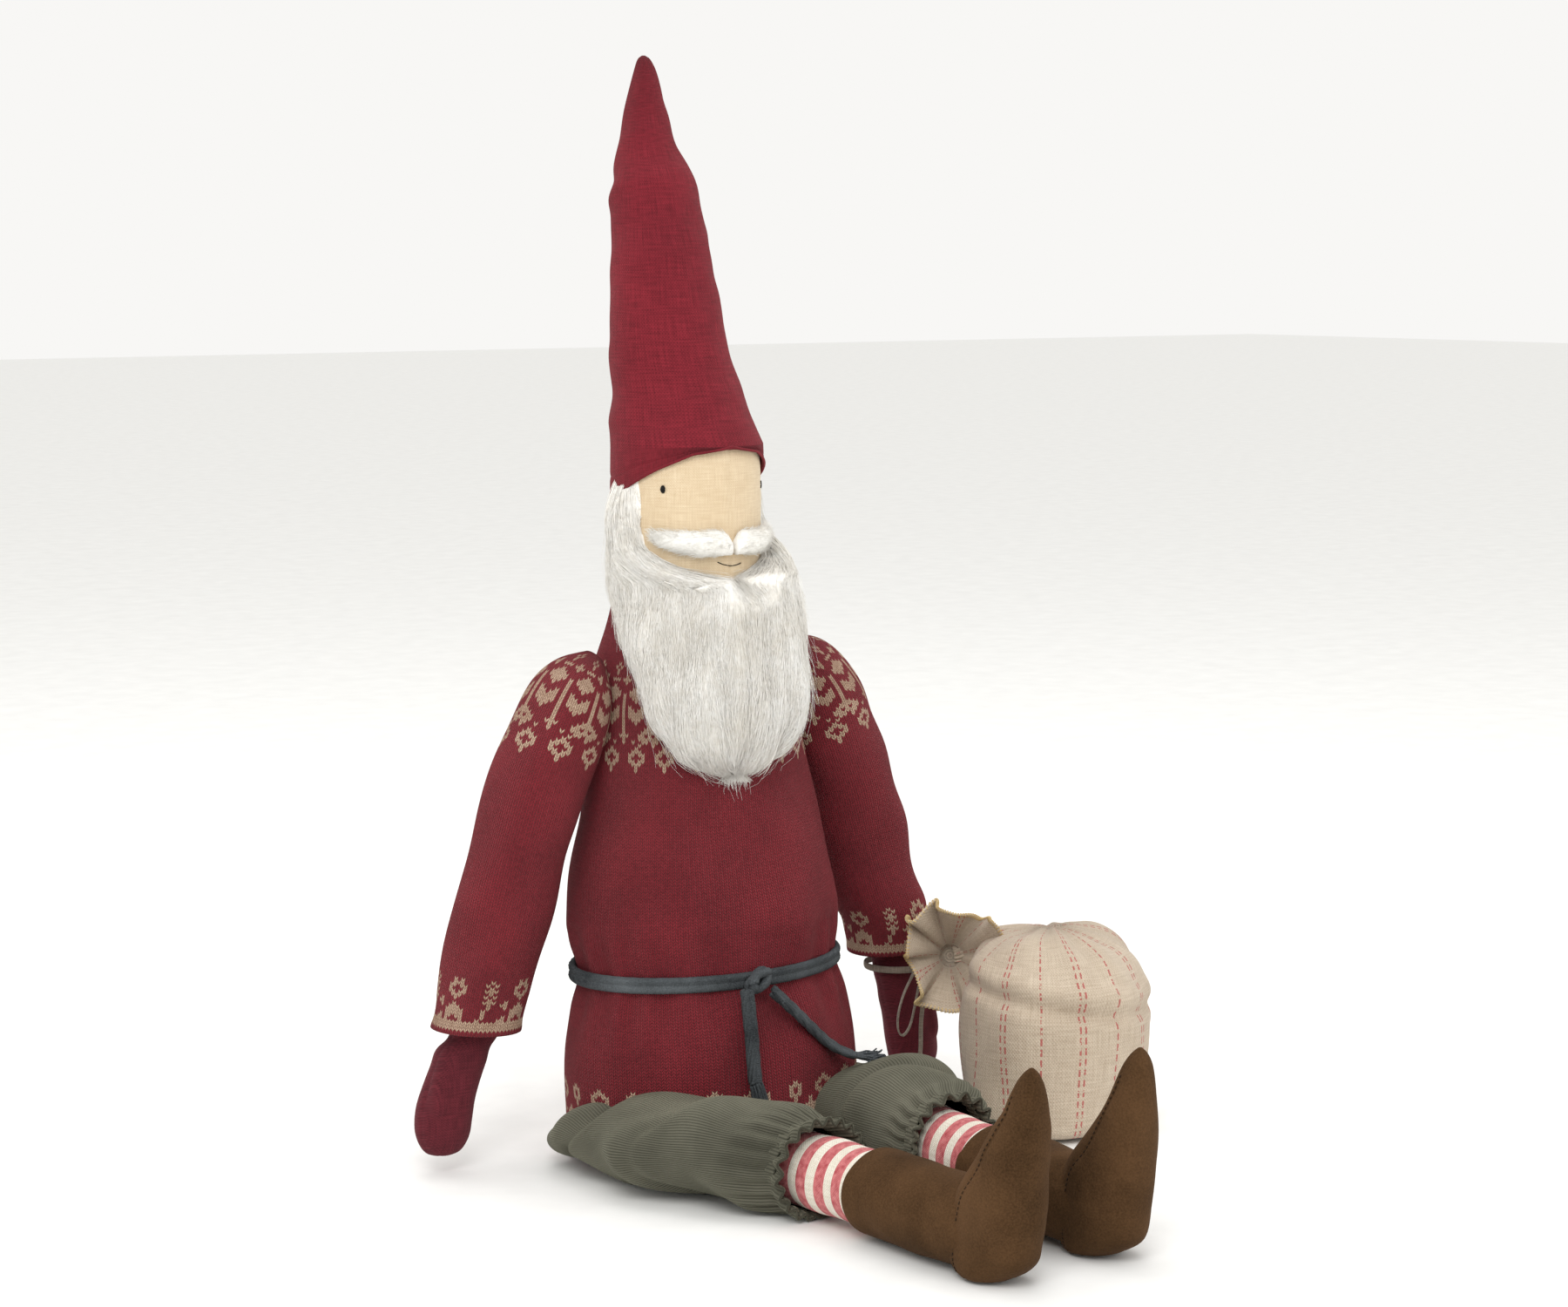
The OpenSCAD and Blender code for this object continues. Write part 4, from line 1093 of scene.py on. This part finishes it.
# %% A Geometry Nodes tree that gives thin tapering bodies to drawn fibres
def fibre_tree(material):
    tree = bpy.data.node_groups.new("fibres_" + material.name, "GeometryNodeTree")
    tree.interface.new_socket("Lines", in_out="INPUT", socket_type="NodeSocketGeometry")
    radius = tree.interface.new_socket("Fibre radius", in_out="INPUT", socket_type="NodeSocketFloat")
    tip = tree.interface.new_socket("Tip share", in_out="INPUT", socket_type="NodeSocketFloat")
    tree.interface.new_socket("Fibres", in_out="OUTPUT", socket_type="NodeSocketGeometry")
    given = add(tree, "NodeGroupInput")
    curve = add(tree, "GeometryNodeMeshToCurve", {"Mesh": given.outputs["Lines"]})
    factor = add(tree, "GeometryNodeSplineParameter").outputs["Factor"]
    taper = add(tree, "ShaderNodeMapRange",
                {"Value": factor, "To Min": 1.0, "To Max": given.outputs["Tip share"]})
    size = add(tree, "ShaderNodeMath", {0: given.outputs["Fibre radius"], 1: taper.outputs[0]},
               operation="MULTIPLY")
    ring = add(tree, "GeometryNodeCurvePrimitiveCircle", {"Resolution": 3, "Radius": 1.0})
    body = add(tree, "GeometryNodeCurveToMesh", {"Curve": curve.outputs[0], "Profile Curve": ring.outputs[0],
                                              "Scale": size.outputs[0]})
    real = add(tree, "GeometryNodeRealizeInstances", {"Geometry": body.outputs[0]})
    soft = add(tree, "GeometryNodeSetShadeSmooth", {"Geometry": real.outputs[0]})
    dyed = add(tree, "GeometryNodeSetMaterial", {"Geometry": soft.outputs[0], "Material": material})
    add(tree, "NodeGroupOutput", {"Fibres": dyed.outputs[0]})
    return tree, radius.identifier, tip.identifier


def fibres(name, lines, radius, tree_parts, tip=0.35):
    """One piece of many fibres; lines is an array of fibres by points by xyz, in metres."""
    tree, radius_id, tip_id = tree_parts
    n, k = lines.shape[:2]
    edges = (np.arange(n)[:, None] * k + np.arange(k - 1)).ravel()
    mesh = bpy.data.meshes.new(name)
    mesh.from_pydata(lines.reshape(-1, 3).tolist(), np.stack([edges, edges + 1], 1).tolist(), [])
    obj = bpy.data.objects.new(name, mesh)
    bpy.context.collection.objects.link(obj)
    grow = obj.modifiers.new("fibres", "NODES")
    grow.node_group = tree
    grow[radius_id] = radius
    grow[tip_id] = tip
    return applied(obj)


FLEECE_FIBRES = fibre_tree(FLEECE)
FELT_FIBRES = fibre_tree(FELT)


# %% Fibres combed down the beard, a lock of them drawn together at the tip
def on_grid(grid, row, col):
    """Points and normals at fractional rows and columns of a grid."""
    n = normals(grid, False)
    r0 = np.clip(np.floor(row).astype(int), 0, grid.shape[0] - 2)
    c0 = np.clip(np.floor(col).astype(int), 0, grid.shape[1] - 2)
    fr, fc = (row - r0)[..., None], (col - c0)[..., None]
    both = []
    for g in (grid, n):
        top = g[r0, c0] * (1 - fc) + g[r0, c0 + 1] * fc
        low = g[r0 + 1, c0] * (1 - fc) + g[r0 + 1, c0 + 1] * fc
        both.append(top * (1 - fr) + low * fr)
    return both


def combed(grid, count, points, seed, rise, reach, stray):
    """Fibres that start anywhere on the grid and run down it, waving, to lift off near their tips."""
    rng = np.random.default_rng(seed)
    rows, cols = grid.shape[:2]
    start = rows * rng.uniform(0.02, 1.0, count) ** 0.8
    length = rng.uniform(*reach, count)
    s = np.linspace(0, 1, points)[None, :]
    row = start[:, None] - length[:, None] * s
    col = rng.uniform(0, cols - 1, count)[:, None] + 0 * s
    clump = np.sin(col * 0.55 + row * 0.045) * 2.0 + np.sin(col * 0.21 - row * 0.03 + 2) * 2.4
    wave = rng.uniform(0.2, 1.1, (count, 1)) * np.sin(s * rng.uniform(3, 9, (count, 1))
                                                      + rng.uniform(0, 6.3, (count, 1)))
    col = np.clip(col + clump * s + wave * 1.6, 0.01, cols - 1.02)
    past = np.clip(-row, 0, 12)
    p, n = on_grid(grid, np.clip(row, 0.01, rows - 1.02), col)
    up = (rng.uniform(*rise, (count, 1)) * np.sin(np.clip(s * 2.2 + 0.15, 0, math.pi / 2)) + stray * s ** 3
          * rng.exponential(1.0, (count, 1)))
    p = p + n * (up * MM)[..., None]
    p[..., 2] -= past * 0.0004
    p[..., :2] += rng.normal(size=(count, 1, 2)) * (past * 0.0002)[..., None]
    return p


def bend_with_head(obj):
    settle(obj, FLEECE, None)
    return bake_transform(obj)


LOCKS, LOCK_FIBRES, LOOSE_HAIRS = 3, 2100, 420
for k in range(LOCKS):
    lock = combed(beard_outer, LOCK_FIBRES, 11, 50 + k, (0.1, 1.5), (18, 46), 0.9)
    bend_with_head(fibres("beard_fleece_%d" % (k + 1), lock, 0.00030 - 0.00004 * k, FLEECE_FIBRES))
fly = combed(beard_outer, LOOSE_HAIRS, 12, 60, (0.8, 3.0), (20, 60), 3.2)
bend_with_head(fibres("beard_loose_hairs", fly, 0.00012, FLEECE_FIBRES))
print("beard fibres:", LOCKS * LOCK_FIBRES + LOOSE_HAIRS)

# %% Moustache halves
LIP = [[2, -2, 9, 9], [7, 0, 13.5, 14], [14, 0.5, 15, 16.5], [24, 0.6, 14.6, 16.5], [36, 1.2, 13, 14.5],
       [47, 2.6, 10.5, 11.5], [56, 4.2, 7, 7.5], [63, 6.5, 2.4, 2.6]]


def moustache(side):
    word = "left" if side > 0 else "right"
    route = []
    for a, up, w, t in LIP:
        b = math.radians(a)
        route.append([side * 47.4 * math.sin(b), 18 - 47.4 * math.cos(b), 369 + up, 90, w, t])
    r = smooth(route, 44)
    mid, w, t = r[:, :3], r[:, 4] / 2, r[:, 5] / 2
    out = mid - np.array([0, 18, 0])
    out[:, 2] = 0
    out = unit(out)
    a = circle(36)
    up = np.array([0, 0, 1.0])
    p = (mid[:, None] + out[:, None] * np.cos(a)[None, :, None] * (t * 0.72)[:, None, None]
         + up * np.sin(a)[None, :, None] * w[:, None, None] * side * -1) * MM
    p = pushed(p, waves(p, 0.012, 41) * 0.5)
    obj = grid_piece("moustache_felt_" + word, p, caps=(True, True), scale=(0.001, 0.001))
    settle(obj, FELT, "head", ["moustache_" + word])
    rng = np.random.default_rng(70 + side)
    n = 1500
    at, col = rng.integers(1, 42, n), rng.integers(0, 36, n)
    base, lift = p[at, col], normals(p)[at, col]
    way = np.gradient(mid, axis=0)[at]
    way = unit(way)
    s = np.linspace(0, 1, 5)[None, :, None]
    stray = rng.normal(size=(n, 1, 3)) * 0.0011
    lines = (base[:, None] + way[:, None] * s * rng.uniform(0.002, 0.0065, (n, 1, 1))
             + lift[:, None] * np.sin(s * 2.4) * rng.uniform(0.0001, 0.0010, (n, 1, 1)) + stray * s ** 2)
    nap = fibres("moustache_nap_" + word, lines, 0.00011, FELT_FIBRES)
    return settle(nap, FELT, "head")


moustache(-1)
moustache(1)


# %% [markdown]
# ## Belt
# The belt is the same flat braid as its tails, laid round the waist, with a knot where they leave it.

# %% Belt round the waist and its knot
def belt_braid():
    count = 1000
    a = np.linspace(0, 2 * math.pi, count)
    lines = []
    for k in range(5):
        phase = 2 * math.pi * (a / (2 * math.pi) * 70 + k / 5)
        lift = 1.9 + 1.05 * np.sin(2 * phase)
        ring = np.stack([(87.4 + lift) * np.cos(a), (59.6 + lift) * np.sin(a), 110 + 3.7 * np.sin(phase)], -1)
        lines.append(ring * MM)
    return tubes_piece("belt_braid", lines, 0.00145, 6)


settle(belt_braid(), SLATE_WOOL, "torso", ["belt_band"])
turn = np.linspace(0, 2 * math.pi, 60)
wrap = np.stack([-9 + 5.4 * np.cos(turn * 2), -67 + 2.6 * np.sin(turn * 3),
                 110 + 5.2 * np.sin(turn * 2 + 0.6)], -1)
knot = tubes_piece("belt_knot_wrap", [wrap * MM, (wrap + [1.2, -0.8, 1.0]) * MM], 0.0024, 10)
settle(knot, SLATE_WOOL, "torso", ["belt_knot"])


# %% [markdown]
# ## Breeches, stockings and boots
# The breeches are needlecord, full over the thigh and gathered by an elastic above the calf, with a
# small frill past it. The stockings are striped tubes and the boots are suede with a sewn sole edge.

# %% Breeches with puffed folds, gathers and the frill past the elastic
TROUSER_RINGS = [[-9, -66, 14.3, 40, 10], [-5, -66, 14.5, 47, 13.8], [12, -70, 17.5, 50, 17],
                 [30, -74, 20.6, 51, 20],
                 [60, -75, 24.5, 51, 24], [95, -74, 27, 48.5, 26.5], [130, -67, 29, 43, 28.5],
                 [152, -60, 30, 38, 29],
                 [164, -53, 28, 31, 27], [170, -50.5, 27.6, 26.4, 25.4], [174, -50, 27.6, 26, 25],
                 [178, -49, 27.6, 28, 27],
                 [184, -47.5, 27.6, 30.5, 28]]


def trouser_surface(seed):
    rows, around = 120, 180
    r = smooth(TROUSER_RINGS, rows, 5)
    p = rings_forward(TROUSER_RINGS, rows, around)
    turn = circle(around)[None, :]
    d = r[:, 0:1]
    gather = np.exp(-((d - 166) / 13) ** 2)
    frill = np.clip((d - 173) / 8, 0, 1)
    pleats = np.sin(turn * 19 + 2 * np.sin(turn * 2 + seed)) * (gather * 1.6 + frill * 2.0)
    big = (np.sin(d / 15 + turn * 1.4 + seed) + np.sin(d / 9 - turn * 2.2 + seed * 2) * 0.6) * 2.9
    crease = -4.6 * np.exp(-((d - 22 - 14 * np.cos(turn + 2.4)) / 5) ** 2)
    crease += -4.0 * np.exp(-((d - 118 - 22 * np.sin(turn - 0.6 + seed)) / 6) ** 2)
    body = np.clip((d + 4) / 20, 0, 1) * (1 - gather * 0.7) * (1 - frill)
    lift = pleats + (big + crease + waves(p, 0.05, seed) * 1.6) * body
    p = pushed(p, lift)
    p[..., 2] = np.maximum(p[..., 2], 0.0004)
    p[..., 0] = np.minimum(p[..., 0], -0.0182)
    return p


for side, word, seed in ((-1, "right", 1), (1, "left", 3)):
    p = mirrored(trouser_surface(seed), -side)
    breeches = grid_piece("breeches_" + word, p, caps=(True, False), scale=(0.00165, 0.0017), wall=0.0012)
    settle(breeches, OLIVE_CORD, "leg_" + word, ["trouser_leg_" + word])
    edge = p[-1]
    hem = tubes_piece("breeches_edge_" + word, [np.vstack([edge, edge[:1]])], 0.0009, 6)
    settle(hem, OLIVE_CORD, "leg_" + word)
    band = rings_forward([[168, -49.6, 27.4, 26.2, 25.4], [176, -49.2, 27.4, 26.2, 25.4]], 8, 120)
    turn = circle(120)[None, :]
    band = band + normals(band) * (np.sin(turn * 30) * 0.6 * MM)[..., None]
    elastic = grid_piece("knee_gather_" + word, mirrored(band, -side), scale=(0.0014, 0.001), wall=0.001)
    settle(elastic, OLIVE_CORD, "leg_" + word, ["knee_elastic_" + word])

seat = grid_piece("breeches_seat", rings_up([[0.6, 0, 36, 58, 14], [4, 0, 36, 64, 17], [14, 0, 36, 66, 18.5],
                                             [24, 0, 36, 62, 16], [27.4, 0, 36, 50, 10]], 26, 120),
                  caps=(True, True),
                  scale=(0.003, 0.002))
crotch = grid_piece("crotch", rings_up([[0.6, 0, 4, 14, 20], [4, 0, 4, 17, 24], [24, 0, 4, 17, 24],
                                        [27.4, 0, 4, 12, 18]],
                                       16, 60), caps=(True, True), scale=(0.002, 0.002))
settle(joined("breeches_seat", [seat, crotch]), OLIVE_CORD, "torso", ["trouser_seat"])

# %% Striped stockings
LEG_RINGS = [[-3, -64, 14.3, 27, 9], [30, -66, 20.3, 24.5, 13], [65, -65, 23.5, 22.5, 16],
             [100, -62, 25, 21, 19],
             [140, -54, 25.6, 21, 21], [186, -45, 25, 21.4, 21.4], [260, -40, 25, 21.6, 21.6],
             [294, -38, 25, 21.5, 21.5]]
for side, word in ((-1, "right"), (1, "left")):
    p = rings_forward(LEG_RINGS, 160, 72)
    tight = np.sin(np.linspace(0, 60, 160))[:, None] * 0.25 + waves(p, 0.04, 9) * 0.5
    p = pushed(p, tight)
    stocking = grid_piece("stocking_" + word, mirrored(p, -side), caps=(True, True), scale=(0.0019, 0.00187))
    settle(stocking, STOCKING, "leg_" + word, ["leg_cloth_" + word, "leg_stuffing_" + word])

# %% Suede boots: a shaft with an overlapped edge, and the foot with its toe up
SHAFT = [[227, -41, 25, 23.6, 23.4], [229, -41, 25, 26.4, 24.8], [245, -40.5, 25, 26.2, 24.8],
         [262, -40, 25, 26.6, 24.8],
         [280, -39, 25, 26, 24.8], [296, -38, 25.4, 25, 24.8],
         [308, -38, 25.6, 23.4, 24.6], [318, -38, 25.6, 21.2, 24], [326, -38, 25.6, 18.5, 22]]
FOOT = [[0.5, -38, -318, 11, 11], [2, -38, -320, 17, 18], [12, -38, -324, 21, 28], [30, -38, -326, 21.4, 30],
        [48, -38, -331, 21, 28], [66, -38, -339, 18.4, 21.5], [90, -38, -348, 13.4, 14],
        [108, -38, -352, 8.2, 9],
        [116, -38, -353.5, 4.6, 5], [120, -38, -354, 1, 1.2]]


def boot_surface(seed):
    p = rings_up(FOOT, 90, 96)
    turn = circle(96)[None, :]
    z = p[..., 2] / MM
    soft = waves(p, 0.045, seed) * 0.9 + waves(p, 0.018, seed + 1) * 0.3
    seam = -np.exp(-((np.cos(turn) - 0.34
                      - 0.1 * np.sin(z / 18)) / 0.035) ** 2) * 0.9 * np.clip((118 - z) / 20, 0, 1)
    p = pushed(p, soft * np.clip((119 - z) / 25, 0, 1) + seam)
    p[..., 2] = np.clip(p[..., 2], 0.0003, 0.1199)
    return p


for side, word, seed in ((-1, "right", 61), (1, "left", 71)):
    foot = grid_piece("boot_foot_suede_" + word, mirrored(boot_surface(seed), -side), caps=(True, True),
                      scale=(0.0015, 0.0014))
    settle(foot, SUEDE, "leg_" + word, ["boot_foot_" + word])
    p = rings_forward(SHAFT, 64, 96)
    turn = circle(96)[None, :]
    lap = 0.9 * (1 / (1 + np.exp(-(np.sin(turn + 0.5) - 0.55) * 60)))
    wrinkle = waves(p, 0.03, seed + 3) * 0.6
    p = pushed(p, lap + wrinkle)
    p[..., 2] = np.maximum(p[..., 2], 0.0003)
    shaft = grid_piece("boot_shaft_suede_" + word, mirrored(p, -side), scale=(0.0015, 0.0014), wall=0.0014)
    settle(shaft, SUEDE, "leg_" + word, ["boot_shaft_" + word])
    surface = boot_surface(seed)
    threads = []
    for k in range(8, 78, 2):
        for col in (19, 77):
            threads.append(surface[k:k + 2, col] + normals(surface)[k:k + 2, col] * 0.0003)
    sewn = tubes_piece("boot_stitches_" + word, [mirrored(t[None], -side)[0] for t in threads], 0.00035, 5)
    settle(sewn, SUEDE_STITCH, "leg_" + word)


# %% [markdown]
# ## Sack
# The sack is coarse striped linen, slack round its filling. Its top is folded over and drawn in to a
# ribbon, and the mouth past the ribbon stands as a pleated frill with an overlocked edge.

# %% Slack sack body
SACK_RINGS = [[0.5, 190, -105, 34, 32], [3, 190, -105, 50, 46], [12, 190, -105, 56.5, 52],
              [40, 192, -105, 60, 54],
              [75, 195, -102, 61, 55], [96, 198, -98, 58, 50], [110, 200, -94, 49, 41],
              [118, 200, -91.5, 32, 25],
              [121.5, 200, -91, 8, 6]]


def sack_surface():
    p = rings_up(SACK_RINGS, 130, 200)
    turn = circle(200)[None, :]
    z = p[..., 2] / MM
    high = np.clip((z - 60) / 50, 0, 1)
    pulls = np.sin(turn * 9 + 1.5 * np.sin(turn * 2) + z / 40) * 0.8 * high
    fold = -4.5 * np.exp(-((z - 84 - 9 * np.sin(turn + 0.8)) / 4.5) ** 2) * (0.5 + 0.5 * np.cos(turn - 2.6))
    fold += 2.6 * np.exp(-((z - 94 - 9 * np.sin(turn + 0.8)) / 6) ** 2) * (0.5 + 0.5 * np.cos(turn - 2.6))
    sag = 1.6 * np.sin(turn * 5 + 1) * np.exp(-((z - 20) / 18) ** 2)
    soft = waves(p, 0.06, 81) * 2.0 + waves(p, 0.025, 82) * 0.6
    p = pushed(p, (pulls + fold + sag + soft) * np.clip(z / 6, 0, 1))
    p[..., 2] = np.maximum(p[..., 2], 0.0004)
    return p


sack = grid_piece("sack_linen", sack_surface(), caps=(True, True), scale=(0.00175, 0.0012))
settle(sack, SACK_LINEN, "sack", ["sack_cloth", "sack_filling"])

# %% Neck drawn in to the tie
NECK = [[212, -94, 84, 10, 62, 40], [206, -80, 94, 12, 58, 38], [204, -64, 100, 20, 50, 34],
        [196, -48, 102, 35, 34, 25],
        [184, -36, 100, 45, 21, 18], [175, -31, 96.5, 45, 14, 14], [171, -29, 96, 45, 12, 12]]
p = along(NECK, 70, 120)
turn = circle(120)[None, :]
s = np.linspace(0, 1, 70)[:, None]
p = pushed(p, np.sin(turn * 13 + 2 * np.sin(turn * 2)) * (0.3 + 1.4 * s) * (1.2 - s) * 1.6)
neck = grid_piece("sack_drawn_neck", p, scale=(0.0016, 0.0012), wall=0.0008)
settle(neck, SACK_LINEN, "sack", ["sack_neck"])

# %% Ruffled mouth: a pleated sheet that opens toward the front, with its overlocked edge
TIE = np.array([170, -28, 96.0])
MOUTH = np.array([-0.58, -0.8, 0.2]) / np.linalg.norm([-0.58, -0.8, 0.2])
MOUTH_SIDE = np.cross([0, 0, 1.0], MOUTH) / np.linalg.norm(np.cross([0, 0, 1.0], MOUTH))
MOUTH_UP = np.cross(MOUTH, MOUTH_SIDE)
ROWS, AROUND = 40, 360
s = np.linspace(0, 1, ROWS)[:, None]
a = circle(AROUND)[None, :]
reach = 1 + 33 * s ** 0.95
wide = 5.6 + 26 * s ** 1.1
fan = a * 8 + 1.1 * np.sin(a * 2 + 1) + 0.5 * np.sin(a * 3)
pleat = (np.sin(a * 3 + 0.9) * 0.13 + np.sin(fan) * 0.07 + np.sin(a * 15 + 2) * 0.02) * s
radius = wide * (1 + pleat)
swirl = a + 0.16 * s ** 1.5 * np.sin(fan + 2.2)
lean_in = reach + np.cos(fan + 0.9) * 7.5 * s ** 1.6 + 2 * np.sin(a * 3 + 1) * s
ruffle_points = (TIE + MOUTH * lean_in[..., None] + MOUTH_SIDE * (radius * np.cos(swirl))[..., None]
                 + MOUTH_UP * (radius * 1.04 * np.sin(swirl))[..., None]) * MM
ruffle = grid_piece("sack_ruffle_linen", ruffle_points, caps=(True, False), scale=(0.00075, 0.0009),
                    wall=0.0007)
settle(ruffle, SACK_LINEN, "sack", ["sack_ruffle"])
rim = ruffle_points[-1]
loops = []
for k in range(0, AROUND, 2):
    at, nxt = rim[k], rim[(k + 1) % AROUND]
    inward = ruffle_points[-4, k] - at
    inward /= np.linalg.norm(inward)
    lift = normals(ruffle_points)[-2, k]
    b = np.linspace(0, 2 * math.pi, 9)[:, None]
    loops.append(at + inward * 0.0013 + (nxt - at) * b / 6.28 - inward * np.cos(b) * 0.0016
                 + lift * np.sin(b) * 0.0008)
overlock = tubes_piece("sack_overlock", loops, 0.00042, 5)
settle(overlock, CREAM_THREAD, "sack")

# %% Ribbon round the neck and the wrist
wrist = rings_up([[83.8, 156, 10, 20.4, 20.4], [85, 156, 10, 20.9, 20.9], [87.2, 156, 10, 20.9, 20.9],
                  [88.2, 156, 10, 20.4, 20.4]], 8, 96)
settle(grid_piece("ribbon_wrist_band", wrist, scale=(0.0014, 0.0012), wall=0.001), RIBBON_TWILL, "sack",
       ["ribbon_wrist_loop"])
b = circle(64)[None, :]
t = np.linspace(0.4, 4.8, 6)[:, None]
collar = (TIE + MOUTH * t[..., None] + MOUTH_SIDE * (7.8 * np.cos(b))[..., None]
          + MOUTH_UP * (7.8 * np.sin(b))[..., None]) * MM
settle(grid_piece("ribbon_neck_wrap", collar, scale=(0.0008, 0.0009), wall=0.001), RIBBON_TWILL, "sack",
       ["ribbon_tie"])
